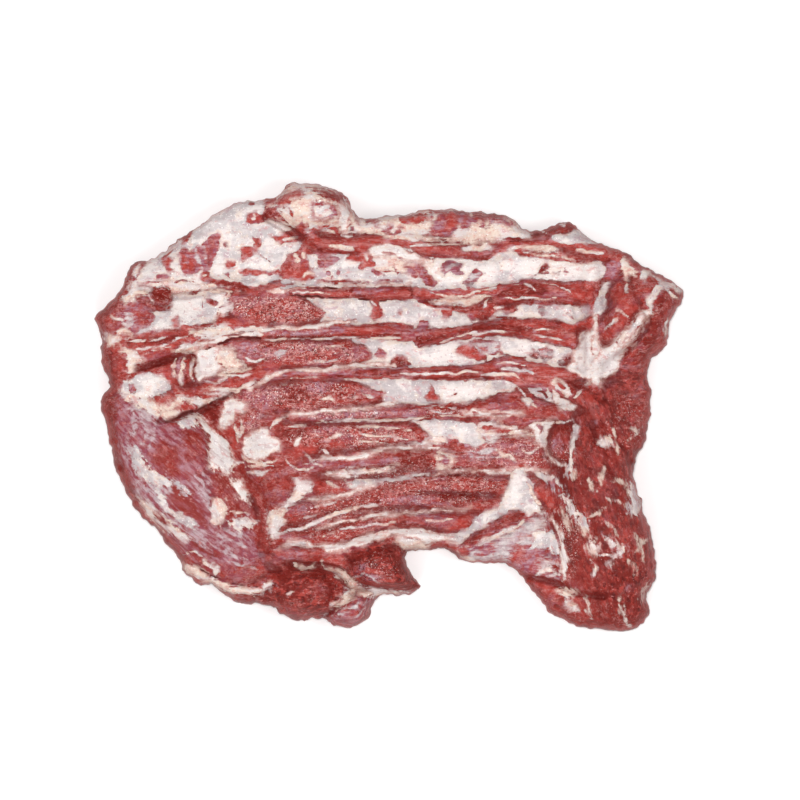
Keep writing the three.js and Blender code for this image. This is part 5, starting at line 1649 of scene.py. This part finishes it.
class ForequarterLook(bpy.types.PropertyGroup):
    """Colours of the tissues."""

    muscle: colour_property("Muscle", "#A0362F")
    muscle_deep: colour_property("Deep muscle", "#82231C")
    muscle_pale: colour_property("Pale muscle", "#C57F7B")
    muscle_bright: colour_property("Bright muscle", "#B0423A")
    muscle_dark: colour_property("Dark muscle", "#701C15")
    # Darkest red: the colour of the darkest muscle, and also of the painted shade in hollows, clefts, nicks
    # and pits
    muscle_black: colour_property("Darkest muscle", "#521311")
    membrane: colour_property("Purple membrane", "#8C4656")
    membrane_pale: colour_property("Pale membrane", "#AE858F")
    fascia: colour_property("Fascia", "#D3C9C8")
    fascia_grey: colour_property("Grey fascia", "#B7ACAD")
    fat: colour_property("Fat", "#DAC6B8")
    fat_pink: colour_property("Pinkish fat", "#D3A79A")
    white: colour_property("White tendon", "#DFD5D1")
    fleck: colour_property("Flecks", "#DFB3AE")
    # Near-black red, painted into the narrow slots as their shade
    slot: colour_property("Deep slot", "#551F1C")
    vein: colour_property("Marbling", "#DDB0AA")
    # Colour of the painted highlights: wet glints painted into the base colour
    glint: colour_property("Pale glints", "#F2ECEA")


def select_only(piece):
    """Selects a piece and nothing else."""
    bpy.ops.object.select_all(action="DESELECT")
    piece.select_set(True)
    bpy.context.view_layer.objects.active = piece


def new_piece(name, vertices, faces):
    """A mesh piece from points in millimetres."""
    mesh = bpy.data.meshes.new(name)
    mesh.from_pydata((np.asarray(vertices) * MM).tolist(), [], faces)
    mesh.validate()
    piece = bpy.data.objects.new(name, mesh)
    bpy.context.scene.collection.objects.link(piece)
    select_only(piece)
    return piece


class FOREQUARTER_OT_slab(bpy.types.Operator):
    """Builds the slab of meat with its relief and tissues"""

    bl_idname = "forequarter.slab"
    bl_label = "Meat slab"

    def execute(self, context):
        sizes = context.scene.forequarter_sizes
        vertices, faces, count = slab_mesh(sizes.grid_step, sizes.side_rings)
        piece = new_piece("meat_slab", vertices, faces)
        # The underside needs fewer faces than the relief
        bpy.ops.object.mode_set(mode="EDIT")
        bpy.ops.mesh.select_all(action="DESELECT")
        bpy.ops.object.mode_set(mode="OBJECT")
        top = sum(max(face) < count for face in faces)
        chosen = np.zeros(len(piece.data.polygons), bool)
        chosen[top : 2 * top] = True
        piece.data.polygons.foreach_set("select", chosen)
        bpy.ops.object.mode_set(mode="EDIT")
        bpy.ops.mesh.select_mode(type="FACE")
        bpy.ops.mesh.select_less()
        bpy.ops.mesh.decimate(ratio=sizes.under_share)
        bpy.ops.mesh.select_all(action="DESELECT")
        bpy.ops.object.mode_set(mode="OBJECT")
        piece.data.polygons.foreach_set("use_smooth", np.ones(len(piece.data.polygons), bool))
        paint_mesh(piece.data)
        piece.data.materials.append(meat_material())
        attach(piece, BODY)
        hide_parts(NODE)
        return {"FINISHED"}


# Stage, in metres: the floor, the middle of the view, and the height where the view has its width
FLOOR_SIZE = 14.0
FLOOR_DROP = 0.0005
VIEW_CENTRE = (0.0154, 0.0098)
VIEW_LEVEL = 0.02
# Width of the camera's sensor in millimetres
SENSOR = 36.0
# Lights: name, place, size, power in watts
LIGHTS = (
    ("key", (-0.07, 0.14, 6.4), 0.4, 248.0),
    ("fill", (1.5, -0.3, 2.6), 0.8, 18.0),
    ("front", (-0.3, -1.9, 1.9), 1.2, 13.0),
    ("side", (-1.9, 0.8, 1.6), 1.0, 13.0),
)
# Strength of the white surroundings
SKY = 0.36


class FOREQUARTER_OT_stage(bpy.types.Operator):
    """Adds the pale floor, soft light and the camera"""

    bl_idname = "forequarter.stage"
    bl_label = "Stage"

    def execute(self, context):
        scene = context.scene
        sizes = scene.forequarter_sizes
        bpy.ops.object.select_all(action="DESELECT")
        bpy.ops.mesh.primitive_plane_add(size=FLOOR_SIZE, location=(0.0, 0.0, -FLOOR_DROP))
        floor = context.active_object
        floor.name = "studio_floor"
        material = bpy.data.materials.new("matt_white_paper")
        material.use_nodes = True
        shader = material.node_tree.nodes["Principled BSDF"]
        shader.inputs["Base Color"].default_value = linear("#F4F4F4")
        shader.inputs["Roughness"].default_value = 0.9
        floor.data.materials.append(material)
        for name, place, size, power in LIGHTS:
            bpy.ops.object.light_add(type="AREA", location=place)
            light = context.active_object
            light.name = f"{name}_light"
            light.data.size = size
            light.data.energy = power
            light.rotation_euler = (-light.location).to_track_quat("-Z", "Y").to_euler()
        world = bpy.data.worlds.new("studio")
        world.use_nodes = True
        background = world.node_tree.nodes["Background"]
        background.inputs["Color"].default_value = (1, 1, 1, 1)
        background.inputs["Strength"].default_value = SKY
        scene.world = world
        scene.view_settings.view_transform = "Standard"
        bpy.ops.object.camera_add(location=(*VIEW_CENTRE, sizes.view_height))
        camera = context.active_object
        camera.name = "camera"
        camera.data.sensor_width = SENSOR
        camera.data.lens = SENSOR * (sizes.view_height - VIEW_LEVEL) / sizes.frame_width
        camera.data.clip_end = 50.0
        scene.camera = camera
        return {"FINISHED"}


class FOREQUARTER_PT_panel(bpy.types.Panel):
    """Lists the pieces and their settings"""

    bl_label = "Forequarter"
    bl_idname = "FOREQUARTER_PT_panel"
    bl_space_type = "VIEW_3D"
    bl_region_type = "UI"
    bl_category = "Forequarter"

    def draw(self, context):
        layout = self.layout
        for operator in OPERATORS:
            layout.operator(operator.bl_idname)
        for group in (context.scene.forequarter_sizes, context.scene.forequarter_look):
            column = layout.column()
            for name in group.bl_rna.properties.keys():
                if name not in ("rna_type", "name"):
                    column.prop(group, name)


OPERATORS = (FOREQUARTER_OT_slab, FOREQUARTER_OT_stage)
CLASSES = (ForequarterSizes, ForequarterLook, *OPERATORS, FOREQUARTER_PT_panel)


def register():
    for cls in CLASSES:
        bpy.utils.register_class(cls)
    bpy.types.Scene.forequarter_sizes = PointerProperty(type=ForequarterSizes)
    bpy.types.Scene.forequarter_look = PointerProperty(type=ForequarterLook)


def unregister():
    del bpy.types.Scene.forequarter_look
    del bpy.types.Scene.forequarter_sizes
    for cls in reversed(CLASSES):
        bpy.utils.unregister_class(cls)


def main():
    register()
    bpy.ops.forequarter.slab()
    bpy.ops.forequarter.stage()


if __name__ == "__main__":
    main()
